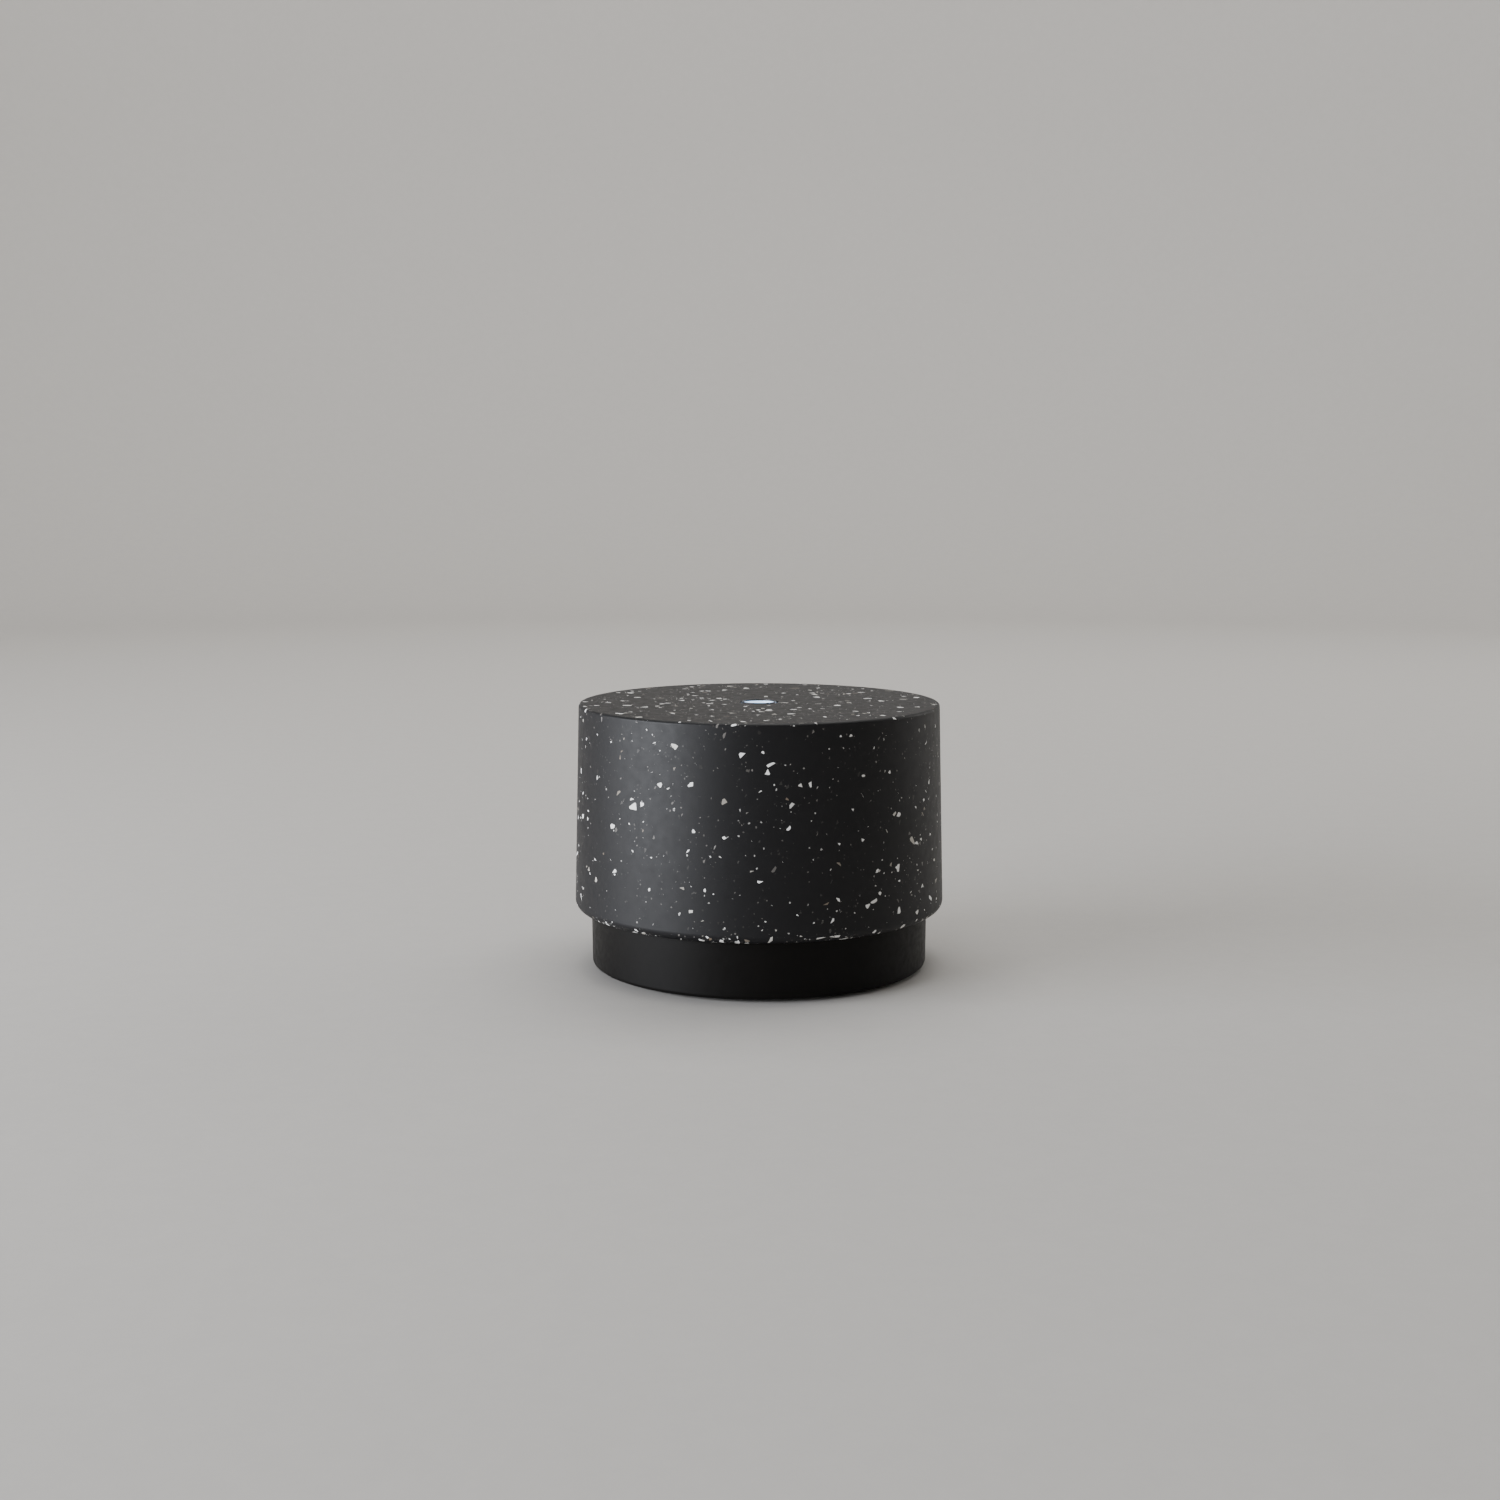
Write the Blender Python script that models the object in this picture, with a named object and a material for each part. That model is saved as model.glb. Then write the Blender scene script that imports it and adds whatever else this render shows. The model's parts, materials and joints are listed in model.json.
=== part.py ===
"""Ultrasonic essential oil diffuser: a terrazzo-look cover that lifts off a black base.

The base holds the fan, the boards and the power inlet. On its deck stands the water tank, with the
ultrasonic disc under its floor, and on the tank an inner lid with the mist chimney, which ends in the
outlet hole of the cover. The origin is the middle of the underside, on the table. +Z is up, -Y is the
front, and the inlet and the two buttons are at the back. Sizes are in millimetres, and every mesh is
scaled to metres as it is made.
"""

import math

import bmesh
import bpy
from mathutils import Matrix, Vector

MM = 0.001
GAP = 0.3  # what touching pieces keep between them

# Driving dimensions of the outside
COVER_RADIUS = 65.0
COVER_TOP_RADIUS = 63.1
COVER_BOTTOM = 21.0
HEIGHT = 93.0
COVER_WALL = 4.0
COVER_TOP_EDGE = 1.0
COVER_LOWER_EDGE = 3.0
OUTLET_RADIUS = 6.6
BASE_RADIUS = 59.3
BASE_FOOT_RADIUS = 59.1
BASE_EDGE = 1.5
BASE_BOTTOM = 1.0
BASE_SHOULDER = 21.7

# Base housing: its ring, the spigot inside the cover, and the deck that carries the tank
RING_INNER = 57.0
SPIGOT_RADIUS = 56.4
SPIGOT_INNER = 54.6
SPIGOT_TOP = 30.0
DECK_TOP = 26.6
DECK_BOTTOM = 24.2
DECK_HOLE = 20.0
BOSS_RADIUS = 3.2
BOSS_CIRCLE = 50.5
BOSS_ANGLES = (45, 135, 225, 315)
SCREW_HOLE = 1.1

# Bottom cover and feet
PLATE_TOP = 3.5
PLATE_RADIUS = RING_INNER - GAP
FOOT_CIRCLE = 40.0
FOOT_RADIUS = 5.0
FOOT_HEIGHT = 1.7
SLOT_WIDTH = 2.2
SLOT_PITCH = 4.4
SLOT_COUNT = 7

# Water tank, and the pipe through its floor that brings air up
TANK_RADIUS = 54.0
TANK_WALL = 2.4
TANK_BOTTOM = 28.2
TANK_RIM = 70.0
BOWL_SIDE_BOTTOM = 48.0
BOWL_FLOOR = 33.0
PIPE_X = 36.0
PIPE_RADIUS = 6.5
PIPE_BORE = 5.2
PIPE_TOP = 64.0
TANK_SCREW_CIRCLE = 40.0
TANK_SCREW_ANGLES = (90, 210, 330)

# Ultrasonic disc and its mounting
DISC_RADIUS = 10.0
DISC_WINDOW = 8.5
SOCKET_RADIUS = 12.8
SOCKET_OUTER = 17.5
SOCKET_BOTTOM = 26.0
SOCKET_TOP = 31.0
PIEZO_SCREW_CIRCLE = 15.2

# Inner lid and chimney
LID_BOTTOM = 71.6
LID_HUB = 82.5
LID_HOLE = 8.2
CHIMNEY_TOP = 93.2
CHIMNEY_RADIUS = 6.1
CHIMNEY_BORE = 4.7

# Fan
FAN_X = 29.0
FAN_SIDE = 36.0
FAN_BOTTOM = 4.6
FAN_TOP = 14.6
FAN_BORE = 16.6
BLADE_COUNT = 7
FAN_SCREW_OFFSET = 14.8

# Circuit board and what stands on it
BOARD_X = (-46.0, 6.0)
BOARD_HALF_DEPTH = 24.0
BOARD_BOTTOM = 7.0
BOARD_TOP = 8.6
BOARD_SCREWS = ((-41.0, 19.0), (1.5, -19.0))

# Power inlet and buttons, at the back
JACK_Z = 10.5
JACK_FACE = 58.6
JACK_RADIUS = 5.6
JACK_BORE = 3.2
JACK_PIN = 1.0
BUTTON_ANGLES = {"mist": 118, "light": 62}
BUTTON_Z = 10.5
BUTTON_WIDTH = 13.0
BUTTON_HEIGHT = 6.5
BUTTON_FACE = 59.75
BUTTON_BACK = 55.0

LED_CIRCLE = 23.0
LED_ANGLES = (45, 135, 225, 315)


def clear_scene():
    for obj in list(bpy.data.objects):
        bpy.data.objects.remove(obj, do_unlink=True)


def material(name, colour, roughness, metallic=0.0):
    """A plain Principled material, made once and shared."""
    mat = bpy.data.materials.get(name)
    if mat is None:
        mat = bpy.data.materials.new(name)
        mat.use_nodes = True
        shader = mat.node_tree.nodes["Principled BSDF"]
        shader.inputs["Base Color"].default_value = (*colour, 1.0)
        shader.inputs["Roughness"].default_value = roughness
        shader.inputs["Metallic"].default_value = metallic
        mat.diffuse_color = (*colour, 1.0)
    return mat


def terrazzo():
    return material("terrazzo_black", (0.035, 0.035, 0.038), 0.38)


def black_plastic():
    return material("plastic_black", (0.02, 0.02, 0.02), 0.55)


def clear_plastic():
    return material("plastic_translucent", (0.82, 0.85, 0.87), 0.35)


def silicone():
    return material("silicone_white", (0.78, 0.78, 0.76), 0.6)


def rubber():
    return material("rubber_grey", (0.09, 0.09, 0.09), 0.85)


def steel():
    return material("steel", (0.6, 0.6, 0.62), 0.3, 1.0)


def board_green():
    return material("circuit_board", (0.03, 0.16, 0.08), 0.45)


def wire_red():
    return material("wire_sleeve", (0.45, 0.03, 0.03), 0.5)


def add_object(name, mesh, mat, at=(0, 0, 0), turn=0.0, smooth=True):
    """An object at a place in millimetres, turned about Z by degrees."""
    obj = bpy.data.objects.new(name, mesh)
    bpy.context.scene.collection.objects.link(obj)
    obj.location = Vector(at) * MM
    obj.rotation_euler[2] = math.radians(turn)
    if mat is not None and not mesh.materials:
        mesh.materials.append(mat)
    if smooth:
        mesh.shade_smooth()
        mesh.set_sharp_from_angle(angle=math.radians(35))
    return obj


def mesh_from(bm, name):
    bmesh.ops.recalc_face_normals(bm, faces=bm.faces)
    bmesh.ops.scale(bm, vec=(MM, MM, MM), verts=bm.verts)
    mesh = bpy.data.meshes.new(name)
    bm.to_mesh(mesh)
    bm.free()
    return mesh


def rounded(corners):
    """A closed outline from (x, y, radius, steps) corners: a corner with a radius becomes an arc."""
    outline = []
    for i, corner in enumerate(corners):
        here = Vector(corner[:2])
        if len(corner) < 4:
            outline.append(tuple(here))
            continue
        radius, steps = corner[2:]
        before = (Vector(corners[i - 1][:2]) - here).normalized()
        after = (Vector(corners[(i + 1) % len(corners)][:2]) - here).normalized()
        half = before.angle(after) / 2
        reach = radius / math.tan(half)
        centre = here + (before + after).normalized() * (radius / math.sin(half))
        start = here + before * reach - centre
        end = here + after * reach - centre
        sweep = start.angle_signed(end)
        for step in range(steps + 1):
            spoke = start.copy()
            spoke.rotate(Matrix.Rotation(-sweep * step / steps, 2))
            outline.append(tuple(centre + spoke))
    return outline


def turned_bmesh(profile, segments, shift=None):
    """A closed (radius, height) outline turned about Z. shift gives each point's own centre in X."""
    bm = bmesh.new()
    rings = []
    for i, (radius, height) in enumerate(profile):
        centre = shift[i] if shift else 0.0
        if radius == 0:
            rings.append([bm.verts.new((centre, 0, height))])
            continue
        ring = []
        for k in range(segments):
            angle = 2 * math.pi * k / segments
            spot = (centre + radius * math.cos(angle), radius * math.sin(angle), height)
            ring.append(bm.verts.new(spot))
        rings.append(ring)
    for i, ring in enumerate(rings):
        other = rings[(i + 1) % len(rings)]
        if len(ring) == 1 and len(other) == 1:
            continue
        for k in range(segments):
            k2 = (k + 1) % segments
            loop = [ring[k % len(ring)], other[k % len(other)]]
            if len(other) > 1:
                loop.append(other[k2])
            if len(ring) > 1:
                loop.append(ring[k2])
            bm.faces.new(loop)
    return bm


def turned(name, profile, mat, segments=24, at=(0, 0, 0), shift=None):
    return add_object(name, mesh_from(turned_bmesh(profile, segments, shift), name), mat, at)


def rod_profile(radius, low, high):
    return [(0, low), (radius, low), (radius, high), (0, high)]


def washer_profile(inner, outer, low, high):
    return [(outer, low), (outer, high), (inner, high), (inner, low)]


def box_mesh(name, low, high):
    bm = bmesh.new()
    bmesh.ops.create_cube(bm, size=1.0)
    size = Vector(high) - Vector(low)
    centre = (Vector(high) + Vector(low)) / 2
    for vert in bm.verts:
        vert.co = Vector(a * b for a, b in zip(vert.co, size)) + centre
    return mesh_from(bm, name)


def block(name, low, high, mat, bevel=0.0, at=(0, 0, 0), turn=0.0):
    """A box between two corners, its edges rounded by bevel."""
    obj = add_object(name, box_mesh(name, low, high), mat, at, turn, smooth=False)
    if bevel:
        soften = obj.modifiers.new("edge_round", "BEVEL")
        soften.width = bevel * MM
        soften.segments = 1
        soften.limit_method = "ANGLE"
    return obj


def slab(name, outline, low, high, mat, at=(0, 0, 0), turn=0.0):
    """A flat outline in X and Y, extruded from low to high."""
    bm = bmesh.new()
    rings = [[bm.verts.new((x, y, z)) for x, y in outline] for z in (low, high)]
    bm.faces.new(rings[0])
    bm.faces.new(rings[1])
    for k in range(len(outline)):
        k2 = (k + 1) % len(outline)
        bm.faces.new((rings[0][k], rings[0][k2], rings[1][k2], rings[1][k]))
    return add_object(name, mesh_from(bm, name), mat, at, turn, smooth=False)


def rounded_rectangle(half_x, half_y, radius, steps=2):
    signs = ((1, 1), (-1, 1), (-1, -1), (1, -1))
    return rounded([(half_x * sx, half_y * sy, radius, steps) for sx, sy in signs])


def combine(obj, operation, tool):
    """A Boolean modifier on obj. The tool stays in the scene as a hidden guide."""
    tool.hide_render = True
    tool.display_type = "WIRE"
    step = obj.modifiers.new(tool.name, "BOOLEAN")
    step.operation = operation
    step.solver = "EXACT"
    step.object = tool


def cut(obj, tool):
    combine(obj, "DIFFERENCE", tool)


def add(obj, tool):
    combine(obj, "UNION", tool)


def on_circle(radius, angle):
    return (radius * math.cos(math.radians(angle)), radius * math.sin(math.radians(angle)))


def facing_out(obj, angle):
    """Turns an object whose +Z is its outward direction to face out at an angle round the base."""
    direction = Vector((*on_circle(1, angle), 0))
    across = Vector((-direction.y, direction.x, 0))
    obj.rotation_euler = Matrix((across, (0, 0, 1), direction)).transposed().to_euler()


def screw(name, head_radius, head_height, shank_radius, length, at, upward=True):
    """A pan-head screw: head at its origin, shank pointing up, or down where it is driven from above."""
    recess = 0.45 * head_height
    profile = [
        (0, recess),
        (0.42 * head_radius, recess),
        (0.42 * head_radius, 0),
        (0.8 * head_radius, 0),
        (head_radius, 0.4 * head_height),
        (head_radius, head_height),
        (shank_radius, head_height),
        (shank_radius, head_height + length),
        (0, head_height + length),
    ]
    obj = turned(name, profile, steel(), 8, at)
    if not upward:
        obj.rotation_euler[0] = math.pi
    return obj


def make_cover():
    ceiling = HEIGHT - COVER_WALL
    profile = rounded([
        (OUTLET_RADIUS, ceiling),
        (COVER_TOP_RADIUS - COVER_WALL, ceiling, 2.0, 2),
        (COVER_RADIUS - COVER_WALL, COVER_BOTTOM, 0.5, 1),
        (COVER_RADIUS, COVER_BOTTOM, COVER_LOWER_EDGE, 4),
        (COVER_TOP_RADIUS, HEIGHT, COVER_TOP_EDGE, 2),
        (OUTLET_RADIUS, HEIGHT, 0.5, 1),
    ])
    turned("outer_cover", profile, terrazzo(), 64)
    outer = COVER_RADIUS - COVER_WALL - 0.5
    inner = SPIGOT_RADIUS + 0.4
    bottom = BASE_SHOULDER + GAP
    seat = [
        (outer, bottom),
        (outer - 0.2, bottom + 8),
        (outer - 1.6, bottom + 8),
        (outer - 1.6, bottom + 2),
        (inner, bottom + 2),
        (inner, bottom),
    ]
    turned("cover_seat_ring", seat, black_plastic(), 48)


def make_lid():
    skirt_outer = TANK_RADIUS - TANK_WALL - 0.8
    skirt_inner = skirt_outer - 2.2
    profile = rounded([
        (TANK_RADIUS, LID_BOTTOM),
        (TANK_RADIUS, LID_BOTTOM + 2.2, 0.9, 2),
        (TANK_RADIUS - 5, LID_BOTTOM + 2.8),
        (TANK_RADIUS - 24, LID_BOTTOM + 8.0),
        (LID_HOLE + 4, LID_HUB),
        (LID_HOLE, LID_HUB),
        (LID_HOLE, LID_HUB - 4),
        (LID_HOLE + 2, LID_HUB - 4),
        (LID_HOLE + 3.6, LID_HUB - 2.2),
        (TANK_RADIUS - 24, LID_BOTTOM + 5.8),
        (skirt_inner, LID_BOTTOM + 0.9),
        (skirt_inner, LID_BOTTOM - 5),
        (skirt_outer, LID_BOTTOM - 5),
        (skirt_outer, LID_BOTTOM),
    ])
    turned("tank_lid", profile, clear_plastic(), 40)
    seal = washer_profile(TANK_RADIUS - 2.2, TANK_RADIUS - 0.2, TANK_RIM + GAP, LID_BOTTOM - GAP)
    turned("lid_seal", seal, silicone(), 32)
    chimney = rounded([
        (CHIMNEY_RADIUS, CHIMNEY_TOP, 0.4, 1),
        (CHIMNEY_BORE, CHIMNEY_TOP, 0.4, 1),
        (CHIMNEY_BORE, LID_HUB + 3.5),
        (CHIMNEY_RADIUS + 0.2, LID_HUB - 6.5),
        (LID_HOLE - 0.4, LID_HUB - 6.5),
        (LID_HOLE - 0.4, LID_HUB + GAP),
        (LID_HOLE + 2.8, LID_HUB + GAP),
        (LID_HOLE + 2.8, LID_HUB + GAP + 1.4),
        (CHIMNEY_RADIUS, LID_HUB + 3.5),
    ])
    turned("mist_chimney", chimney, clear_plastic(), 24)


def make_tank():
    inner = TANK_RADIUS - TANK_WALL
    profile = rounded([
        (TANK_RADIUS, TANK_BOTTOM),
        (TANK_RADIUS, TANK_RIM, 0.6, 1),
        (inner, TANK_RIM, 0.6, 1),
        (inner - 0.6, BOWL_SIDE_BOTTOM, 9.0, 3),
        (30.0, BOWL_FLOOR + 1.5, 12.0, 2),
        (DISC_WINDOW, BOWL_FLOOR),
        (DISC_WINDOW, SOCKET_TOP),
        (SOCKET_RADIUS, SOCKET_TOP),
        (SOCKET_RADIUS, SOCKET_BOTTOM),
        (SOCKET_OUTER, SOCKET_BOTTOM),
        (SOCKET_OUTER, BOWL_FLOOR - 2.2),
        (30.6, BOWL_FLOOR - 0.8),
        (inner, BOWL_SIDE_BOTTOM - 2.6),
        (inner, TANK_BOTTOM),
    ])
    tank = turned("water_tank", profile, clear_plastic(), 48)
    pipe_way = rod_profile(PIPE_RADIUS + GAP, DECK_TOP, BOWL_SIDE_BOTTOM)
    cut(tank, turned("pipe_way", pipe_way, None, 20, (PIPE_X, 0, 0)))
    pipe = washer_profile(PIPE_BORE, PIPE_RADIUS, DECK_TOP + GAP, PIPE_TOP)
    turned("air_pipe", pipe, clear_plastic(), 20, (PIPE_X, 0, 0))
    for i, angle in enumerate(TANK_SCREW_ANGLES):
        spot = on_circle(TANK_SCREW_CIRCLE, angle)
        post = rod_profile(3.0, DECK_TOP + GAP, BOWL_FLOOR + 5.4)
        add(tank, turned(f"tank_post_{i}", post, None, 12, (*spot, 0)))
        hole = rod_profile(SCREW_HOLE + 0.2, DECK_TOP - 1, DECK_TOP + 9)
        cut(tank, turned(f"tank_screw_hole_{i}", hole, None, 10, (*spot, 0)))
        screw(f"tank_screw_{i + 1}", 2.6, 1.5, 1.0, 9.5, (*spot, DECK_BOTTOM - GAP - 1.5))
    for i, angle in enumerate((0, 180)):
        spot = on_circle(PIEZO_SCREW_CIRCLE, angle)
        hole = rod_profile(SCREW_HOLE, SOCKET_BOTTOM - 1, SOCKET_BOTTOM + 4)
        cut(tank, turned(f"piezo_screw_hole_{i}", hole, None, 10, (*spot, 0)))
    gasket = washer_profile(TANK_RADIUS - 2.2, TANK_RADIUS - 0.2, DECK_TOP + GAP, TANK_BOTTOM - GAP)
    turned("tank_gasket", gasket, silicone(), 32)


def make_piezo():
    grip = DISC_RADIUS + GAP
    disc_low = 28.6
    disc_high = 29.6
    seal = [
        (SOCKET_RADIUS - 0.4, SOCKET_BOTTOM),
        (SOCKET_RADIUS - 0.4, SOCKET_TOP - GAP),
        (DISC_WINDOW + 0.1, SOCKET_TOP - GAP),
        (DISC_WINDOW + 0.1, disc_high + GAP),
        (grip, disc_high + GAP),
        (grip, disc_low - GAP),
        (DISC_WINDOW + 0.1, disc_low - GAP),
        (DISC_WINDOW + 0.1, SOCKET_BOTTOM),
    ]
    turned("piezo_seal", seal, silicone(), 24)
    turned("piezo_disc", rod_profile(DISC_RADIUS, disc_low, disc_high), steel(), 24)
    low = SOCKET_BOTTOM - GAP - 1.3
    clamp = turned("piezo_clamp", washer_profile(7, 17.4, low, low + 1.3), steel(), 24)
    for i, angle in enumerate((0, 180)):
        spot = on_circle(PIEZO_SCREW_CIRCLE, angle)
        hole = rod_profile(SCREW_HOLE, low - 1, low + 3)
        cut(clamp, turned(f"clamp_hole_{i}", hole, None, 10, (*spot, 0)))
        screw(f"piezo_screw_{i + 1}", 1.9, 1.2, 0.8, 4.6, (*spot, low - GAP - 1.2))


def make_base():
    profile = rounded([
        (BASE_FOOT_RADIUS, BASE_BOTTOM, BASE_EDGE, 3),
        (BASE_RADIUS, BASE_SHOULDER, 0.4, 1),
        (SPIGOT_RADIUS, BASE_SHOULDER),
        (SPIGOT_RADIUS, SPIGOT_TOP),
        (SPIGOT_INNER, SPIGOT_TOP),
        (SPIGOT_INNER, DECK_TOP),
        (DECK_HOLE, DECK_TOP),
        (DECK_HOLE, DECK_BOTTOM),
        (SPIGOT_INNER - 0.2, DECK_BOTTOM),
        (SPIGOT_INNER - 0.2, BASE_SHOULDER - 2.6),
        (RING_INNER, BASE_SHOULDER - 3.6),
        (RING_INNER, BASE_BOTTOM),
    ])
    base = turned("base_housing", profile, black_plastic(), 64)
    for i, angle in enumerate(BOSS_ANGLES):
        spot = (*on_circle(BOSS_CIRCLE, angle), 0)
        boss = rod_profile(BOSS_RADIUS, PLATE_TOP + GAP, DECK_BOTTOM + 1)
        add(base, turned(f"boss_{i}", boss, None, 12, spot))
        hole = rod_profile(SCREW_HOLE, PLATE_TOP - 1, PLATE_TOP + 12)
        cut(base, turned(f"boss_hole_{i}", hole, None, 10, spot))
    for i, angle in enumerate(TANK_SCREW_ANGLES):
        spot = (*on_circle(TANK_SCREW_CIRCLE, angle), 0)
        hole = rod_profile(1.5, DECK_BOTTOM - 1, DECK_TOP + 1)
        cut(base, turned(f"deck_screw_hole_{i}", hole, None, 10, spot))
    duct_way = rod_profile(PIPE_RADIUS + 0.6, DECK_BOTTOM - 1, DECK_TOP + 1)
    cut(base, turned("duct_way", duct_way, None, 20, (PIPE_X, 0, 0)))
    jack_way = turned("jack_way", rod_profile(JACK_RADIUS + 0.4, 50, 65), None, 20, (0, 0, JACK_Z))
    facing_out(jack_way, 90)
    cut(base, jack_way)
    for name, angle in BUTTON_ANGLES.items():
        outline = rounded_rectangle(BUTTON_WIDTH / 2 + GAP, BUTTON_HEIGHT / 2 + GAP, 2.4)
        way = slab(f"{name}_button_way", outline, 50, 65, None, (0, 0, BUTTON_Z))
        facing_out(way, angle)
        cut(base, way)


def make_bottom_cover():
    profile = rounded([
        (0, BASE_BOTTOM),
        (PLATE_RADIUS, BASE_BOTTOM, 0.4, 1),
        (PLATE_RADIUS, PLATE_TOP),
        (0, PLATE_TOP),
    ])
    plate = turned("bottom_cover", profile, black_plastic(), 48)
    for i in range(SLOT_COUNT):
        y = (i - (SLOT_COUNT - 1) / 2) * SLOT_PITCH
        half = math.sqrt(FAN_BORE ** 2 - y ** 2) - 1.0
        outline = rounded_rectangle(half, SLOT_WIDTH / 2, SLOT_WIDTH / 2 - 0.02, 3)
        cut(plate, slab(f"air_slot_{i}", outline, BASE_BOTTOM - 1, PLATE_TOP + 1, None, (FAN_X, y, 0)))
    for i, angle in enumerate(BOSS_ANGLES):
        spot = (*on_circle(BOSS_CIRCLE, angle), 0)
        sink = [
            (0, BASE_BOTTOM - 1),
            (BOSS_RADIUS, BASE_BOTTOM - 1),
            (BOSS_RADIUS, BASE_BOTTOM + 1.6),
            (1.5, BASE_BOTTOM + 1.6),
            (1.5, PLATE_TOP + 1),
            (0, PLATE_TOP + 1),
        ]
        cut(plate, turned(f"screw_sink_{i}", sink, None, 8, spot))
        screw(f"base_screw_{i + 1}", 2.7, 1.2, 0.9, 10.0, (*spot[:2], BASE_BOTTOM + 0.1))
        spot = on_circle(FOOT_CIRCLE, angle)
        pocket = rod_profile(FOOT_RADIUS + GAP, BASE_BOTTOM - 1, FOOT_HEIGHT + GAP)
        cut(plate, turned(f"foot_pocket_{i}", pocket, None, 16, (*spot, 0)))
        foot = rounded([
            (0, 0),
            (FOOT_RADIUS, 0, 0.4, 1),
            (FOOT_RADIUS, FOOT_HEIGHT),
            (0, FOOT_HEIGHT),
        ])
        turned(f"foot_{i + 1}", foot, rubber(), 16, (*spot, 0))
    for i, sign in enumerate((1, -1)):
        spot = (FAN_X + sign * FAN_SCREW_OFFSET, sign * FAN_SCREW_OFFSET, 0)
        add(plate, turned(f"fan_post_{i}", rod_profile(2.6, 3.0, FAN_BOTTOM - GAP), None, 12, spot))
        cut(plate, turned(f"fan_post_hole_{i}", rod_profile(1.3, 2.0, 6.0), None, 8, spot))
    for i, spot in enumerate(BOARD_SCREWS):
        post = rod_profile(2.6, 3.0, BOARD_BOTTOM - GAP)
        add(plate, turned(f"board_post_{i}", post, None, 12, (*spot, 0)))
        cut(plate, turned(f"board_post_hole_{i}", rod_profile(1.2, 2.4, 8.0), None, 8, (*spot, 0)))


def make_fan():
    outline = rounded_rectangle(FAN_SIDE / 2, FAN_SIDE / 2, 3.0)
    frame = slab("fan_frame", outline, FAN_BOTTOM, FAN_TOP, black_plastic(), (FAN_X, 0, 0))
    bore = rod_profile(FAN_BORE, FAN_BOTTOM + 1.2, FAN_TOP + 1)
    cut(frame, turned("fan_bore", bore, None, 32, (FAN_X, 0, 0)))
    for i in range(3):
        sector = []
        for step in range(8):
            sector.append(on_circle(FAN_BORE - 0.8, 120 * i + 6 + 108 * step / 7))
        for step in range(8):
            sector.append(on_circle(8.5, 120 * i + 110 - 100 * step / 7))
        tool = slab(f"fan_inlet_{i}", sector, FAN_BOTTOM - 1, FAN_BOTTOM + 2, None, (FAN_X, 0, 0))
        cut(frame, tool)
    for i, sign in enumerate((1, -1)):
        spot = (FAN_X + sign * FAN_SCREW_OFFSET, sign * FAN_SCREW_OFFSET, 0)
        hole = rod_profile(1.4, FAN_BOTTOM - 1, FAN_TOP + 1)
        cut(frame, turned(f"fan_screw_hole_{i}", hole, None, 8, spot))
        top = (*spot[:2], FAN_TOP + GAP + 1.3)
        screw(f"fan_screw_{i + 1}", 2.2, 1.3, 0.9, 12.2, top, upward=False)
    stator = washer_profile(1.2, 6.8, FAN_BOTTOM + 1.5, FAN_TOP - 2.4)
    turned("fan_stator", stator, material("copper", (0.72, 0.35, 0.16), 0.35, 1.0), 20, (FAN_X, 0, 0))
    hub = rounded([
        (0, FAN_TOP - 0.6),
        (8.2, FAN_TOP - 0.6, 0.8, 1),
        (8.2, FAN_BOTTOM + 2.0),
        (7.3, FAN_BOTTOM + 2.0),
        (7.3, FAN_TOP - 1.8),
        (0.8, FAN_TOP - 1.8),
        (0.8, FAN_BOTTOM + 2.4),
        (0, FAN_BOTTOM + 2.4),
    ])
    rotor = turned("fan_rotor", hub, material("fan_grey", (0.12, 0.12, 0.125), 0.5), 28, (FAN_X, 0, 0))
    for i in range(BLADE_COUNT):
        blade = block(f"fan_blade_{i}", (7.8, -0.5, -4.6), (15.8, 0.5, 4.6), None, 0, (FAN_X, 0, 9.9))
        pitch = Matrix.Rotation(math.radians(48), 4, "X")
        blade.rotation_euler = (Matrix.Rotation(2 * math.pi * i / BLADE_COUNT, 4, "Z") @ pitch).to_euler()
        add(rotor, blade)
    duct = [
        (17.2, FAN_TOP + GAP, 0),
        (17.2, FAN_TOP + 1.5, 0),
        (PIPE_RADIUS, 21.6, PIPE_X - FAN_X),
        (PIPE_RADIUS, DECK_TOP, PIPE_X - FAN_X),
        (PIPE_BORE, DECK_TOP, PIPE_X - FAN_X),
        (PIPE_BORE, 21.6, PIPE_X - FAN_X),
        (15.9, FAN_TOP + GAP, 0),
    ]
    profile = [point[:2] for point in duct]
    shift = [point[2] for point in duct]
    turned("air_duct", profile, silicone(), 20, (FAN_X, 0, 0), shift)


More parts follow.
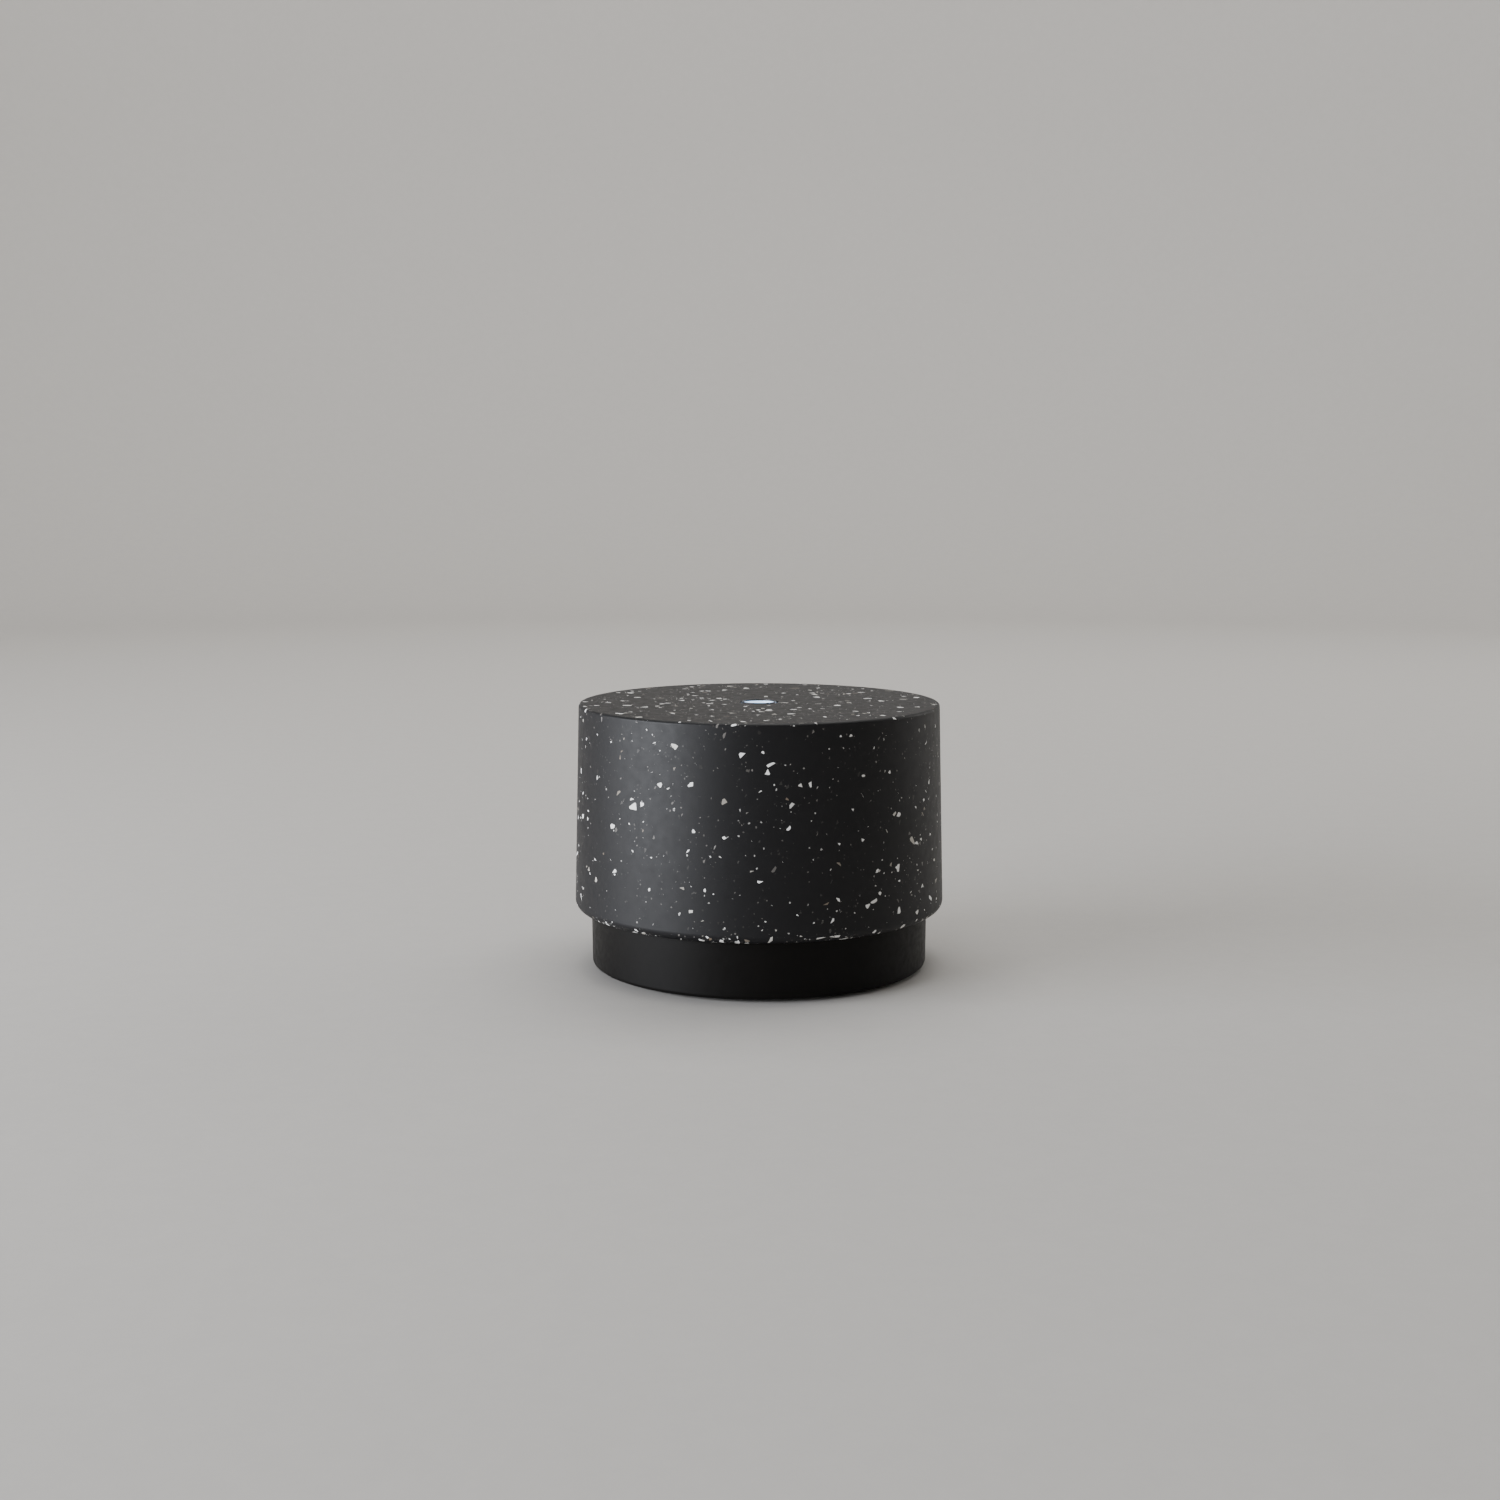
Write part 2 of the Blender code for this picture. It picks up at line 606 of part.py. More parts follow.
def make_board():
    x0, x1 = BOARD_X
    centre = (x0 + x1) / 2
    outline = rounded_rectangle((x1 - x0) / 2, BOARD_HALF_DEPTH, 2.0)
    board = slab("main_board", outline, BOARD_BOTTOM, BOARD_TOP, board_green(), (centre, 0, 0))
    for i, spot in enumerate(BOARD_SCREWS):
        hole = rod_profile(1.2, BOARD_BOTTOM - 1, BOARD_TOP + 1)
        cut(board, turned(f"board_hole_{i}", hole, None, 8, (*spot, 0)))
        screw(f"board_screw_{i + 1}", 2.0, 1.2, 0.8, 6.0, (*spot, BOARD_TOP + GAP + 1.2), upward=False)
    seat = BOARD_TOP + GAP
    drum = [
        (0, seat),
        (4.8, seat),
        (4.8, seat + 1.2),
        (3.9, seat + 1.6),
        (3.9, seat + 6.4),
        (4.8, seat + 6.8),
        (4.8, seat + 8.0),
        (0, seat + 8.0),
    ]
    turned("inductor", drum, material("ferrite", (0.06, 0.06, 0.065), 0.6), 14, (-30, 12, 0))
    can = rounded([
        (0, seat),
        (4.0, seat, 0.4, 1),
        (4.0, seat + 1.6),
        (3.7, seat + 1.9),
        (4.0, seat + 2.2),
        (4.0, seat + 10.0, 0.5, 1),
        (0, seat + 10.0),
    ])
    turned("capacitor", can, material("can_sleeve", (0.03, 0.05, 0.12), 0.4), 14, (-30, -12, 0))
    chip = material("chip_black", (0.02, 0.02, 0.022), 0.5)
    block("driver_chip", (-20, -3.0, seat), (-11, 3.0, seat + 1.6), chip, 0.25)
    bright = material("aluminium", (0.75, 0.76, 0.78), 0.35, 1.0)
    sink = block("heat_sink", (-44, -5, seat), (-36, 5, seat + 9), bright)
    for i in range(3):
        y = (i - 1) * 3.0
        cut(sink, block(f"sink_gap_{i}", (-42.8, y - 0.8, seat + 2), (-30, y + 0.8, seat + 12), None))


def make_light_ring():
    low = DECK_TOP + GAP
    turned("led_board", washer_profile(18.2, 28.0, low, low + 1.2), board_green(), 32)
    lamp = material("led_white", (0.9, 0.9, 0.8), 0.3)
    for i, angle in enumerate(LED_ANGLES):
        spot = (*on_circle(LED_CIRCLE, angle), 0)
        block(f"led_{i + 1}", (-2, -2, low + 1.5), (2, 2, low + 3.0), lamp, 0.3, spot, angle)


def make_jack():
    """The power inlet: a round collar on a square body behind the wall, with a metal centre pin."""
    length = 11.5
    floor = 2.5
    at = (0, JACK_FACE - length, JACK_Z)
    collar = [
        (0, 0),
        (JACK_RADIUS, 0),
        (JACK_RADIUS, length),
        (JACK_BORE, length),
        (JACK_BORE, floor),
        (0, floor),
    ]
    jack = turned("dc_jack", collar, black_plastic(), 16, at)
    body = block("jack_body", (-4.6, -4.6, -3.0), (4.6, 4.6, 1.5), None, 0, at)
    add(jack, body)
    tip = length - 0.5
    rod = [(0, floor + GAP), (JACK_PIN, floor + GAP), (JACK_PIN, tip - 0.5), (0.6, tip), (0, tip)]
    pin = turned("dc_pin", rod, steel(), 12, at)
    for obj in (jack, body, pin):
        facing_out(obj, 90)


def make_button(name, angle):
    """A button cap with its flange, the switch behind it, and the plunger that the cap pushes."""
    at = (0, 0, BUTTON_Z)
    outline = rounded_rectangle(BUTTON_WIDTH / 2, BUTTON_HEIGHT / 2, 2.1, 3)
    cap = slab(f"{name}_button", outline, BUTTON_BACK, BUTTON_FACE, black_plastic(), at)
    flange = slab(
        f"{name}_flange", rounded_rectangle(7.4, 4.2, 1.0), BUTTON_BACK, BUTTON_BACK + 1.1, None, at
    )
    add(cap, flange)
    plunger_top = BUTTON_BACK - GAP
    plunger = turned(f"{name}_plunger", rod_profile(1.7, plunger_top - 3.5, plunger_top), black_plastic(), 14, at)
    switch_top = plunger_top - 1.2
    switch = block(f"{name}_switch", (-3, -3, switch_top - 3.5), (3, 3, switch_top), steel(), 0, at)
    well = turned(f"{name}_well", rod_profile(2.0, plunger_top - 4.5, switch_top + 1), None, 16, at)
    cut(switch, well)
    plate_top = switch_top - 3.5 - GAP
    plate = slab(
        f"{name}_switch_board", rounded_rectangle(7, 6, 0.8), plate_top - 1.2, plate_top, board_green(), at
    )
    for obj in (cap, flange, plunger, switch, well, plate):
        facing_out(obj, angle)


def make_wire(name, route, thickness=0.6):
    """A lead along a smooth line through hand-picked points inside the housing."""
    curve = bpy.data.curves.new(name, "CURVE")
    curve.dimensions = "3D"
    curve.bevel_depth = thickness * MM
    curve.bevel_resolution = 1
    curve.use_fill_caps = True
    points = smooth_route(route)
    line = curve.splines.new("POLY")
    line.points.add(len(points) - 1)
    for point, spot in zip(line.points, points):
        point.co = (*(spot * MM), 1)
    curve.materials.append(wire_red())
    obj = bpy.data.objects.new(name, curve)
    bpy.context.scene.collection.objects.link(obj)


def smooth_route(route, steps=3):
    """Points on a Catmull-Rom curve through the route's own points."""
    ends = [Vector(spot) for spot in route]
    ends = [2 * ends[0] - ends[1], *ends, 2 * ends[-1] - ends[-2]]
    points = [ends[1]]
    for a, b, c, d in zip(ends, ends[1:], ends[2:], ends[3:]):
        for step in range(1, steps + 1):
            t = step / steps
            pull = (c - a) * t + (2 * a - 5 * b + 4 * c - d) * t ** 2 + (3 * b - a - 3 * c + d) * t ** 3
            points.append(b + pull / 2)
    return points


def make_wires():
    seat = BOARD_TOP + GAP + 0.8
    make_wire("piezo_wire", [(-3, 1, 28.0), (-3.2, 2, 23), (-5, 7, 16), (-4.5, 13, 11.5), (-4, 16, seat)])
    make_wire("fan_wire", [(9.8, -8, 13), (6, -9, 15), (2, -10, 12), (-2, -11, seat)])
    make_wire("led_wire", [(-18.6, 2.8, 26.4), (-18.6, 3.0, 23), (-18, 8, 17), (-17, 14, 12), (-16, 16, seat)])
    make_wire("power_wire", [(-2, 42.8, 10.5), (-6, 38, 12), (-10, 30, 13), (-12, 22, 11.5), (-13, 20, seat)])
    make_wire("switch_wire", [(-20.5, 38.8, 10.5), (-19, 32, 12.5), (-21, 25, 12.5), (-22, 20, seat)])


def build():
    clear_scene()
    make_cover()
    make_lid()
    make_tank()
    make_piezo()
    make_base()
    make_bottom_cover()
    make_fan()
    make_board()
    make_light_ring()
    make_jack()
    for name, angle in BUTTON_ANGLES.items():
        make_button(name, angle)
    make_wires()


build()
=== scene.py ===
"""The looks of the essential oil diffuser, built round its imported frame.

Every place comes from the frame's own boxes. Shapes are written in millimetres and scaled by MM when
their meshes are made. Each frame node is replaced by a piece that is modelled again with fine rounds,
apart from the five leads inside, which keep their frame shapes and get coloured sleeves.
"""

import json
import math

import bmesh
import bpy
from mathutils import Matrix, Vector


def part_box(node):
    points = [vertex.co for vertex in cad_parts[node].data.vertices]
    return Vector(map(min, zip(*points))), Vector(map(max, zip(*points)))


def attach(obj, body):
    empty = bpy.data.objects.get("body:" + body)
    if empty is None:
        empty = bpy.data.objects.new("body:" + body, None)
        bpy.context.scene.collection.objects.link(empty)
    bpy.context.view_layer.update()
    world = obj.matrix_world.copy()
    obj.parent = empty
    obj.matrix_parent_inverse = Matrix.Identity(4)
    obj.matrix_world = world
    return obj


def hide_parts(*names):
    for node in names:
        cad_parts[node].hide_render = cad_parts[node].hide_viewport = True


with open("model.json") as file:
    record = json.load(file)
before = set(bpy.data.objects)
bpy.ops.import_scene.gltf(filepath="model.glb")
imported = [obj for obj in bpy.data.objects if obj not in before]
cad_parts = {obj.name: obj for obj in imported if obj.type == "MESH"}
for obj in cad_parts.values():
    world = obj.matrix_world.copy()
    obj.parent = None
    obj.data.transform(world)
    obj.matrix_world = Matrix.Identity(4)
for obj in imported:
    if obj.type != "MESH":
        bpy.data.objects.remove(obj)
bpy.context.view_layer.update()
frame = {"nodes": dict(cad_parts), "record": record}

MM = 0.001
FINE = 256  # facets round a large turned piece
ROUND = 64  # facets round a small one

# Camera: a 48 mm lens on a 36 mm sensor, a little above the object and looking down on it
LENS = 48.0
CAMERA_PLACE = (-0.0032, -0.6973, 0.1730)
CAMERA_PITCH = 7.93

# What the boxes don't tell: sizes in millimetres, angles in degrees, and counts
COVER_DRAFT = 1.9
COVER_WALL = 4.0
OUTLET_RADIUS = 6.6
CHIMNEY_BORE = 4.7
TANK_WALL = 2.4
BUTTON_FACE = 59.75  # from the base's axis to the middle of a button's face
BUTTON_HALF = (6.5, 3.25)
BUTTON_CORNER = 2.1
BUTTON_GAP = 0.3
FAN_BORE = 16.6
BOSSES = (50.5, (45, 135, 225, 315))  # the radius of their circle, and their angles
TANK_SCREWS = (40.0, (90, 210, 330))
BUTTON_ANGLES = {"mist": 118, "light": 62}
BLADE_COUNT = 7

SIGNS = ((1, 1), (-1, 1), (-1, -1), (1, -1))  # the four corners, counter-clockwise
PAST = 1  # how far a cutting tool reaches past the face that it cuts


# ---- places

def lows(node):
    """A frame node's lowest corner in millimetres."""
    return Vector(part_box(node)[0]) / MM


def highs(node):
    """A frame node's highest corner in millimetres."""
    return Vector(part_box(node)[1]) / MM


def middle(node):
    return (lows(node) + highs(node)) / 2


def heights(node):
    return (lows(node).z, highs(node).z)


def half_width(node):
    return (highs(node).x - lows(node).x) / 2


def on_circle(radius, angle):
    return (radius * math.cos(math.radians(angle)), radius * math.sin(math.radians(angle)))


def at(x, y, z=0):
    return Matrix.Translation((x, y, z))


def over(node):
    """A matrix that moves a shape sideways onto a node's middle."""
    return at(middle(node).x, middle(node).y)


def numbered(kind):
    """The frame nodes of one kind, such as foot_1 to foot_4."""
    return [node for node in sorted(frame["nodes"]) if node.startswith(f"{kind}_")]


def spots(kind):
    return [over(node) for node in numbered(kind)]


def round_circle(radius, angles):
    return [at(*on_circle(radius, angle)) for angle in angles]


def spin(angle, axis="Z"):
    return Matrix.Rotation(math.radians(angle), 4, axis)


def outward(angle, height):
    """A matrix that lays +Z along the direction out of the base at an angle, at a height."""
    out = Vector((*on_circle(1, angle), 0))
    across = Vector((-out.y, out.x, 0))
    return at(0, 0, height) @ Matrix((across, (0, 0, 1), out)).transposed().to_4x4()


# ---- shapes

def rounded(corners):
    """A closed outline from (x, y, radius, steps) corners: a corner with a radius becomes an arc.

    An arc has 3 steps unless its corner says how many.
    """
    outline = []
    for i, corner in enumerate(corners):
        here = Vector(corner[:2])
        if len(corner) == 2:
            outline.append(tuple(here))
            continue
        radius = corner[2]
        steps = corner[3] if len(corner) > 3 else 3
        before = (Vector(corners[i - 1][:2]) - here).normalized()
        after = (Vector(corners[(i + 1) % len(corners)][:2]) - here).normalized()
        half = before.angle(after) / 2
        reach = radius / math.tan(half)
        centre = here + (before + after).normalized() * (radius / math.sin(half))
        start = here + before * reach - centre
        end = here + after * reach - centre
        sweep = start.angle_signed(end)
        for step in range(steps + 1):
            spoke = start.copy()
            spoke.rotate(Matrix.Rotation(-sweep * step / steps, 2))
            outline.append(tuple(centre + spoke))
    return outline


def rounded_rectangle(half_x, half_y, radius, steps=8):
    return rounded([(half_x * sx, half_y * sy, radius, steps) for sx, sy in SIGNS])


def rod(radius, low, high):
    return [(0, low), (radius, low), (radius, high), (0, high)]


def pad(radius, low, high, edge=0.2):
    """A rod with rounded rims."""
    return rounded([(0, low), (radius, low, edge, 4), (radius, high, edge, 4), (0, high)])


def washer(inner, outer, low, high, edge=0.2):
    """A flat ring with rounded rims."""
    corners = ((inner, low), (outer, low), (outer, high), (inner, high))
    return rounded([(*corner, edge, 4) for corner in corners])


def link(name, data):
    obj = bpy.data.objects.new(name, data)
    bpy.context.scene.collection.objects.link(obj)
    return obj


def add_object(name, bm, mat, place=None, sharp=40):
    """Turns a shape in millimetres, put in place by a matrix, into an object in metres."""
    bmesh.ops.recalc_face_normals(bm, faces=bm.faces)
    if place is not None:
        bmesh.ops.transform(bm, matrix=place, verts=bm.verts)
    bmesh.ops.scale(bm, vec=(MM, MM, MM), verts=bm.verts)
    mesh = bpy.data.meshes.new(name)
    bm.to_mesh(mesh)
    bm.free()
    mesh.shade_smooth()
    mesh.set_sharp_from_angle(angle=math.radians(sharp))
    if mat is not None:
        mesh.materials.append(mat)
    return link(name, mesh)


def turned(name, profile, mat=None, segments=ROUND, place=None, sharp=40):
    """A closed (radius, height) outline turned about Z. A point may add a shift along X."""
    bm = bmesh.new()
    rings = []
    for radius, height, *shift in profile:
        count = segments if radius > 0 else 1
        ring = []
        for k in range(count):
            x, y = on_circle(radius, 360 * k / count)
            ring.append(bm.verts.new((x + sum(shift), y, height)))
        rings.append(ring)
    for i, ring in enumerate(rings):
        other = rings[(i + 1) % len(rings)]
        if len(ring) == 1 and len(other) == 1:
            continue
        for k in range(segments):
            k2 = (k + 1) % segments
            loop = [ring[k % len(ring)], other[k % len(other)]]
            if len(other) > 1:
                loop.append(other[k2])
            if len(ring) > 1:
                loop.append(ring[k2])
            bm.faces.new(loop)
    return add_object(name, bm, mat, place, sharp)


def peg(radius, low, high, place, segments=24):
    """A plain round tool: taken away it leaves a hole, and joined on it makes a post."""
    return turned("peg", rod(radius, low, high), None, segments, place)


def loft(name, sections, mat=None, place=None, sharp=40):
    """Joins outlines of (x, y, z) points, all with the same number of points, and caps both ends."""
    bm = bmesh.new()
    rings = [[bm.verts.new(point) for point in section] for section in sections]
    bm.faces.new(rings[0])
    bm.faces.new(rings[-1])
    for ring, other in zip(rings, rings[1:]):
        for k in range(len(ring)):
            k2 = (k + 1) % len(ring)
            bm.faces.new((ring[k], ring[k2], other[k2], other[k]))
    return add_object(name, bm, mat, place, sharp)


def slab(name, outline, low, high, mat=None, place=None):
    """A flat outline in X and Y, extruded from low to high."""
    return loft(name, [[(x, y, z) for x, y in outline] for z in (low, high)], mat, place)


def cushion(name, half_x, half_y, radius, low, high, edge, mat=None, place=None):
    """A slab with a rounded rectangle outline and rounded rims above and below."""
    sections = []
    for z, sign in ((low, 1), (high, -1)):
        arc = []
        for step in range(5):
            angle = math.pi / 2 * step / 4
            inset = edge * (1 - math.sin(angle))
            rise = z + sign * edge * (1 - math.cos(angle))
            flat = rounded_rectangle(half_x - inset, half_y - inset, radius - inset)
            arc.append([(x, y, rise) for x, y in flat])
        sections += arc[::sign]
    return loft(name, sections, mat, place)


def apply_modifiers(obj):
    """Makes an object's modifiers part of its own mesh."""
    bpy.context.view_layer.update()
    shape = obj.evaluated_get(bpy.context.evaluated_depsgraph_get())
    mesh = bpy.data.meshes.new_from_object(shape)
    obj.modifiers.clear()
    old = obj.data
    obj.data = mesh
    bpy.data.meshes.remove(old)
    return mesh


def carve(obj, tools, operation="DIFFERENCE", sharp=40):
    """Cuts or joins tools into an object's own mesh, and removes them."""
    for tool in tools:
        step = obj.modifiers.new(tool.name, "BOOLEAN")
        step.operation = operation
        step.solver = "MANIFOLD"
        step.object = tool
        if tool.data.materials:
            step.material_mode = "TRANSFER"
    mesh = apply_modifiers(obj)
    for tool in tools:
        bpy.data.objects.remove(tool)
    mesh.shade_smooth()
    mesh.set_sharp_from_angle(angle=math.radians(sharp))
    return obj


def fit(piece, node):
    """Puts a piece in the place of a frame node, on the node's own body.

    Its normals are weighted by area, so that a flat face stays flat right up to its rounded edge.
    """
    weigh = piece.modifiers.new("normals", "WEIGHTED_NORMAL")
    weigh.keep_sharp = True
    apply_modifiers(piece)
    bodies = frame["record"]["behaviour"]["bodies"]
    body = next(name for name, nodes in bodies.items() if node in nodes)
    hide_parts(node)
    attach(piece, body)
    return piece


# ---- materials

class Look:
    """One material's nodes, with short ways to add and join them. Sizes are in millimetres."""

    def __init__(self, name, colour, roughness, metallic=0.0):
        self.mat = bpy.data.materials.new(name)
        self.mat.use_nodes = True
        self.tree = self.mat.node_tree
        self.shader = self.tree.nodes["Principled BSDF"]
        self.set(Base_Color=(*colour, 1), Roughness=roughness, Metallic=metallic)
        self.place = self.node("TexCoord").outputs["Object"]

    def feed(self, socket, value):
        """Joins a socket to another's output, or sets it to a plain value."""
        if isinstance(value, bpy.types.NodeSocket):
            self.tree.links.new(value, socket)
        else:
            socket.default_value = value

    def set(self, **values):
        """Feeds the shader's own sockets, with _ for each space in their names."""
        for key, value in values.items():
            self.feed(self.shader.inputs[key.replace("_", " ")], value)
        return self

    def node(self, kind, inputs=(), **settings):
        """Adds a node, and feeds those of its inputs that are given by name or number."""
        made = self.tree.nodes.new(f"ShaderNode{kind}")
        for key, value in settings.items():
            setattr(made, key, value)
        for key, value in dict(inputs).items():
            self.feed(made.inputs[key], value)
        return made

    def math(self, operation, *values):
        return self.node("Math", enumerate(values), operation=operation).outputs[0]

    def span(self, value, low, high, to_low=0.0, to_high=1.0):
        """Stretches the range from low to high over the range from to_low to to_high."""
        return self.node("MapRange", enumerate((value, low, high, to_low, to_high))).outputs[0]

    def mix(self, factor, a, b):
        """A blend of two colours."""
        a, b = (value if isinstance(value, bpy.types.NodeSocket) else (*value, 1) for value in (a, b))
        return self.node("Mix", {0: factor, 6: a, 7: b}, data_type="RGBA").outputs[2]

    def ramp(self, value, stops):
        """A colour that runs through (position, colour) stops."""
        made = self.node("ValToRGB", {0: value})
        elements = made.color_ramp.elements
        while len(elements) < len(stops):
            elements.new(0.5)
        for element, (position, colour) in zip(elements, stops):
            element.position = position
            element.color = (*colour, 1)
        return made.outputs[0]

    def axis(self, index):
        """The object's X, Y or Z coordinate in metres."""
        return self.node("SeparateXYZ", {0: self.place}).outputs[index]

    def mapped(self, size, turn=(0, 0, 0), shift=(0, 0, 0), stretch=(1, 1, 1)):
        """Object coordinates counted in cells of a size, along axes turned and then stretched."""
        inputs = {
            "Vector": self.place,
            "Location": [size * MM * step for step in shift],
            "Rotation": [math.radians(angle) for angle in turn],
            "Scale": [size * MM / factor for factor in stretch],
        }
        return self.node("Mapping", inputs, vector_type="TEXTURE").outputs[0]

    def texture(self, kind, vector, values, **settings):
        """A texture's outputs, read at a vector, with some of its inputs set to plain values."""
        return self.node(f"Tex{kind}", {"Vector": vector, "Scale": 1.0, **values}, **settings).outputs

    def noise(self, size, detail=2.0, **mapping):
        return self.texture("Noise", self.mapped(size, **mapping), {"Detail": detail})["Fac"]

    def drift(self, size, low, high, detail=2.0):
        """A number that wanders between low and high."""
        return self.span(self.noise(size, detail), 0.3, 0.7, low, high)

    def bump(self, height, strength, distance):
        """Stacks another height on the surface."""
        made = self.node("Bump", {"Strength": strength, "Distance": distance * MM, "Height": height})
        normal = self.shader.inputs["Normal"]
        if normal.is_linked:
            self.feed(made.inputs["Normal"], normal.links[0].from_socket)
        self.feed(normal, made.outputs[0])


def plain(name, colour, roughness, metallic=0.0, grain=0.25, depth=0.02, mottle=0.15):
    """Moulded or cast stuff: fine grain in its surface, and a slow drift in tone and gloss."""
    look = Look(name, colour, roughness, metallic)
    dark = [channel * (1 - mottle) for channel in colour]
    light = [min(1.0, channel * (1 + mottle)) for channel in colour]
    look.set(Base_Color=look.mix(look.noise(9, detail=3), dark, light))
    look.set(Roughness=look.drift(2.2, roughness - 0.06, roughness + 0.06))
    look.bump(look.noise(grain, detail=1), 0.6, depth)
    return look


def chips(look, crowd, cell, share, margin, shift, turn, stretch):
    """A layer of angular stone chips: some of the cells of a crackle, each shrunk by its own margin.

    The share of the cells that hold a chip is multiplied by the crowd. Returns where the chips are, and a
    random tone for each.
    """
    wobble = look.texture("Noise", look.mapped(cell * 0.4, shift=shift), {"Detail": 1.0})
    nudges = (wobble["Color"], (0.03, 0.03, 0.03), look.mapped(cell, turn, shift, stretch))
    place = look.node("VectorMath", enumerate(nudges), operation="MULTIPLY_ADD").outputs[0]
    cells = look.texture("Voronoi", place, {}, feature="F1")
    gaps = look.texture("Voronoi", place, {}, feature="DISTANCE_TO_EDGE")
    random = look.node("SeparateColor", {0: cells["Color"]}).outputs
    chosen = look.math("LESS_THAN", random[0], look.math("MULTIPLY", share, crowd))
    edge = look.span(random[1], 0.0, 1.0, *margin)
    inside = look.math("SUBTRACT", gaps["Distance"], edge)
    inside = look.span(inside, 0.0, 0.012 / cell)
    return look.math("MULTIPLY", chosen, inside), random[2]


def terrazzo():
    """Charcoal matrix with white, grey and a few brown chips, from dust up to about 3 mm, ground flush."""
    look = Look("terrazzo", (0.0045, 0.0044, 0.0052), 0.44)
    look.set(Specular_IOR_Level=0.30)
    matrix = look.mix(look.noise(14, detail=4), (0.0030, 0.0030, 0.0037), (0.0056, 0.0055, 0.0068))
    dust = look.span(look.noise(0.45, detail=2), 0.68, 0.80)
    matrix = look.mix(look.math("MULTIPLY", dust, 0.20), matrix, (0.05, 0.05, 0.05))
    stone = [
        (0.0, (0.16, 0.12, 0.085)),
        (0.10, (0.24, 0.22, 0.19)),
        (0.16, (0.50, 0.48, 0.43)),
        (0.30, (0.80, 0.79, 0.76)),
        (1.0, (0.96, 0.96, 0.95)),
    ]
    fines = [
        (0.0, (0.012, 0.011, 0.010)),
        (0.50, (0.040, 0.038, 0.036)),
        (0.80, (0.16, 0.15, 0.14)),
        (1.0, (0.80, 0.80, 0.78)),
    ]
    bottom, top = (z * MM for z in heights("outer_cover"))
    height = look.axis(2)
    lower_edge = look.span(height, bottom + 1.2 * MM, bottom + 2.6 * MM, 5.0, 0.0)
    upper_edge = look.span(height, top - 1.2 * MM, top - 0.4 * MM, 0.0, 0.6)
    edges = look.math("ADD", look.math("ADD", lower_edge, upper_edge), 1.0)
    crowd = look.math("MULTIPLY", look.span(look.noise(15, detail=1), 0.35, 0.65, 0.4, 1.6), edges)
    layers = (
        (0.6, 0.036, (0.03, 0.30), (3.1, 0.7, 5.2), (20, 0, 40), (1, 1, 1), fines),
        (1.1, 0.030, (0.10, 0.38), (7.7, 2.3, 1.9), (0, 30, 10), (1, 1, 0.6), fines),
        (1.8, 0.009, (0.10, 0.32), (1.3, 9.1, 4.4), (55, 15, 0), (1, 1, 0.38), stone),
        (1.8, 0.009, (0.10, 0.32), (6.3, 2.7, 8.1), (20, 70, 30), (1, 1, 0.38), stone),
        (2.0, 0.062, (0.17, 0.42), (5.9, 3.2, 8.8), (0, 50, 70), (1, 0.7, 1), stone),
        (3.1, 0.058, (0.20, 0.41), (2.6, 6.4, 3.3), (10, 25, 45), (1, 0.8, 0.7), stone),
    )
    colour = matrix
    everywhere = None
    for cell, share, margin, shift, turn, stretch, tones in layers:
        mask, tone = chips(look, crowd, cell, share, margin, shift, turn, stretch)
        colour = look.mix(mask, colour, look.ramp(tone, tones))
        everywhere = mask if everywhere is None else look.math("MAXIMUM", everywhere, mask)
    worn = look.drift(3, 0.47, 0.56, detail=3)
    look.set(Base_Color=colour, Roughness=look.math("MULTIPLY_ADD", everywhere, -0.10, worn))
    look.bump(look.noise(0.35, detail=2), 0.35, 0.02)
    look.bump(everywhere, 0.5, 0.015)
    return look.mat


def base_plastic():
    """Near-black moulding with a spark-eroded grain that sparkles where light grazes it."""
    look = plain("base_plastic", (0.0028, 0.0024, 0.0021), 0.48, grain=0.28, depth=0.035, mottle=0.2)
    look.bump(look.noise(0.6, detail=2), 0.4, 0.03)
    return look.set(Specular_IOR_Level=0.13).mat


def milky():
    """Moulded translucent plastic: light passes into it and spreads, and moulding marks drift in it."""
    look = plain("milky_plastic", (0.78, 0.82, 0.85), 0.34, grain=0.8, depth=0.02, mottle=0.03)
    look.set(Transmission_Weight=0.45, IOR=1.49, Subsurface_Weight=0.25, Subsurface_Scale=0.004)
    return look


def painted_glow_tube():
    """The same plastic with painted light: a painted glow in its bore stands in for the lamps below it, just
    under a rim painted near black as shade.
    """
    look = milky()
    look.mat.name = "chimney_plastic"
    top = highs("mist_chimney").z * MM
    # painted glow: emission on a tube that is no lamp stands in for the lamps' light coming up the bore,
    # rising towards the top
    flare = look.span(look.axis(2), top - 4 * MM, top - 1.2 * MM, 0.0, 1.0)
    # painted shade: the top rim is painted near black as shade, and the painted glow stops under it
    painted_shade_brim = look.span(look.axis(2), top - 0.62 * MM, top - 0.42 * MM, 1.0, 0.0)
    rise = look.math("MULTIPLY", flare, painted_shade_brim)
    patchy = look.math("MULTIPLY", rise, look.drift(3, 0.85, 1.0))
    glow = look.mix(patchy, (0.0, 0.0, 0.0), (0.50, 0.70, 1.0))
    look.set(Base_Color=look.mix(painted_shade_brim, (0.012, 0.012, 0.013), (0.78, 0.82, 0.85)))
    return look.set(Emission_Color=glow, Emission_Strength=1.6).mat


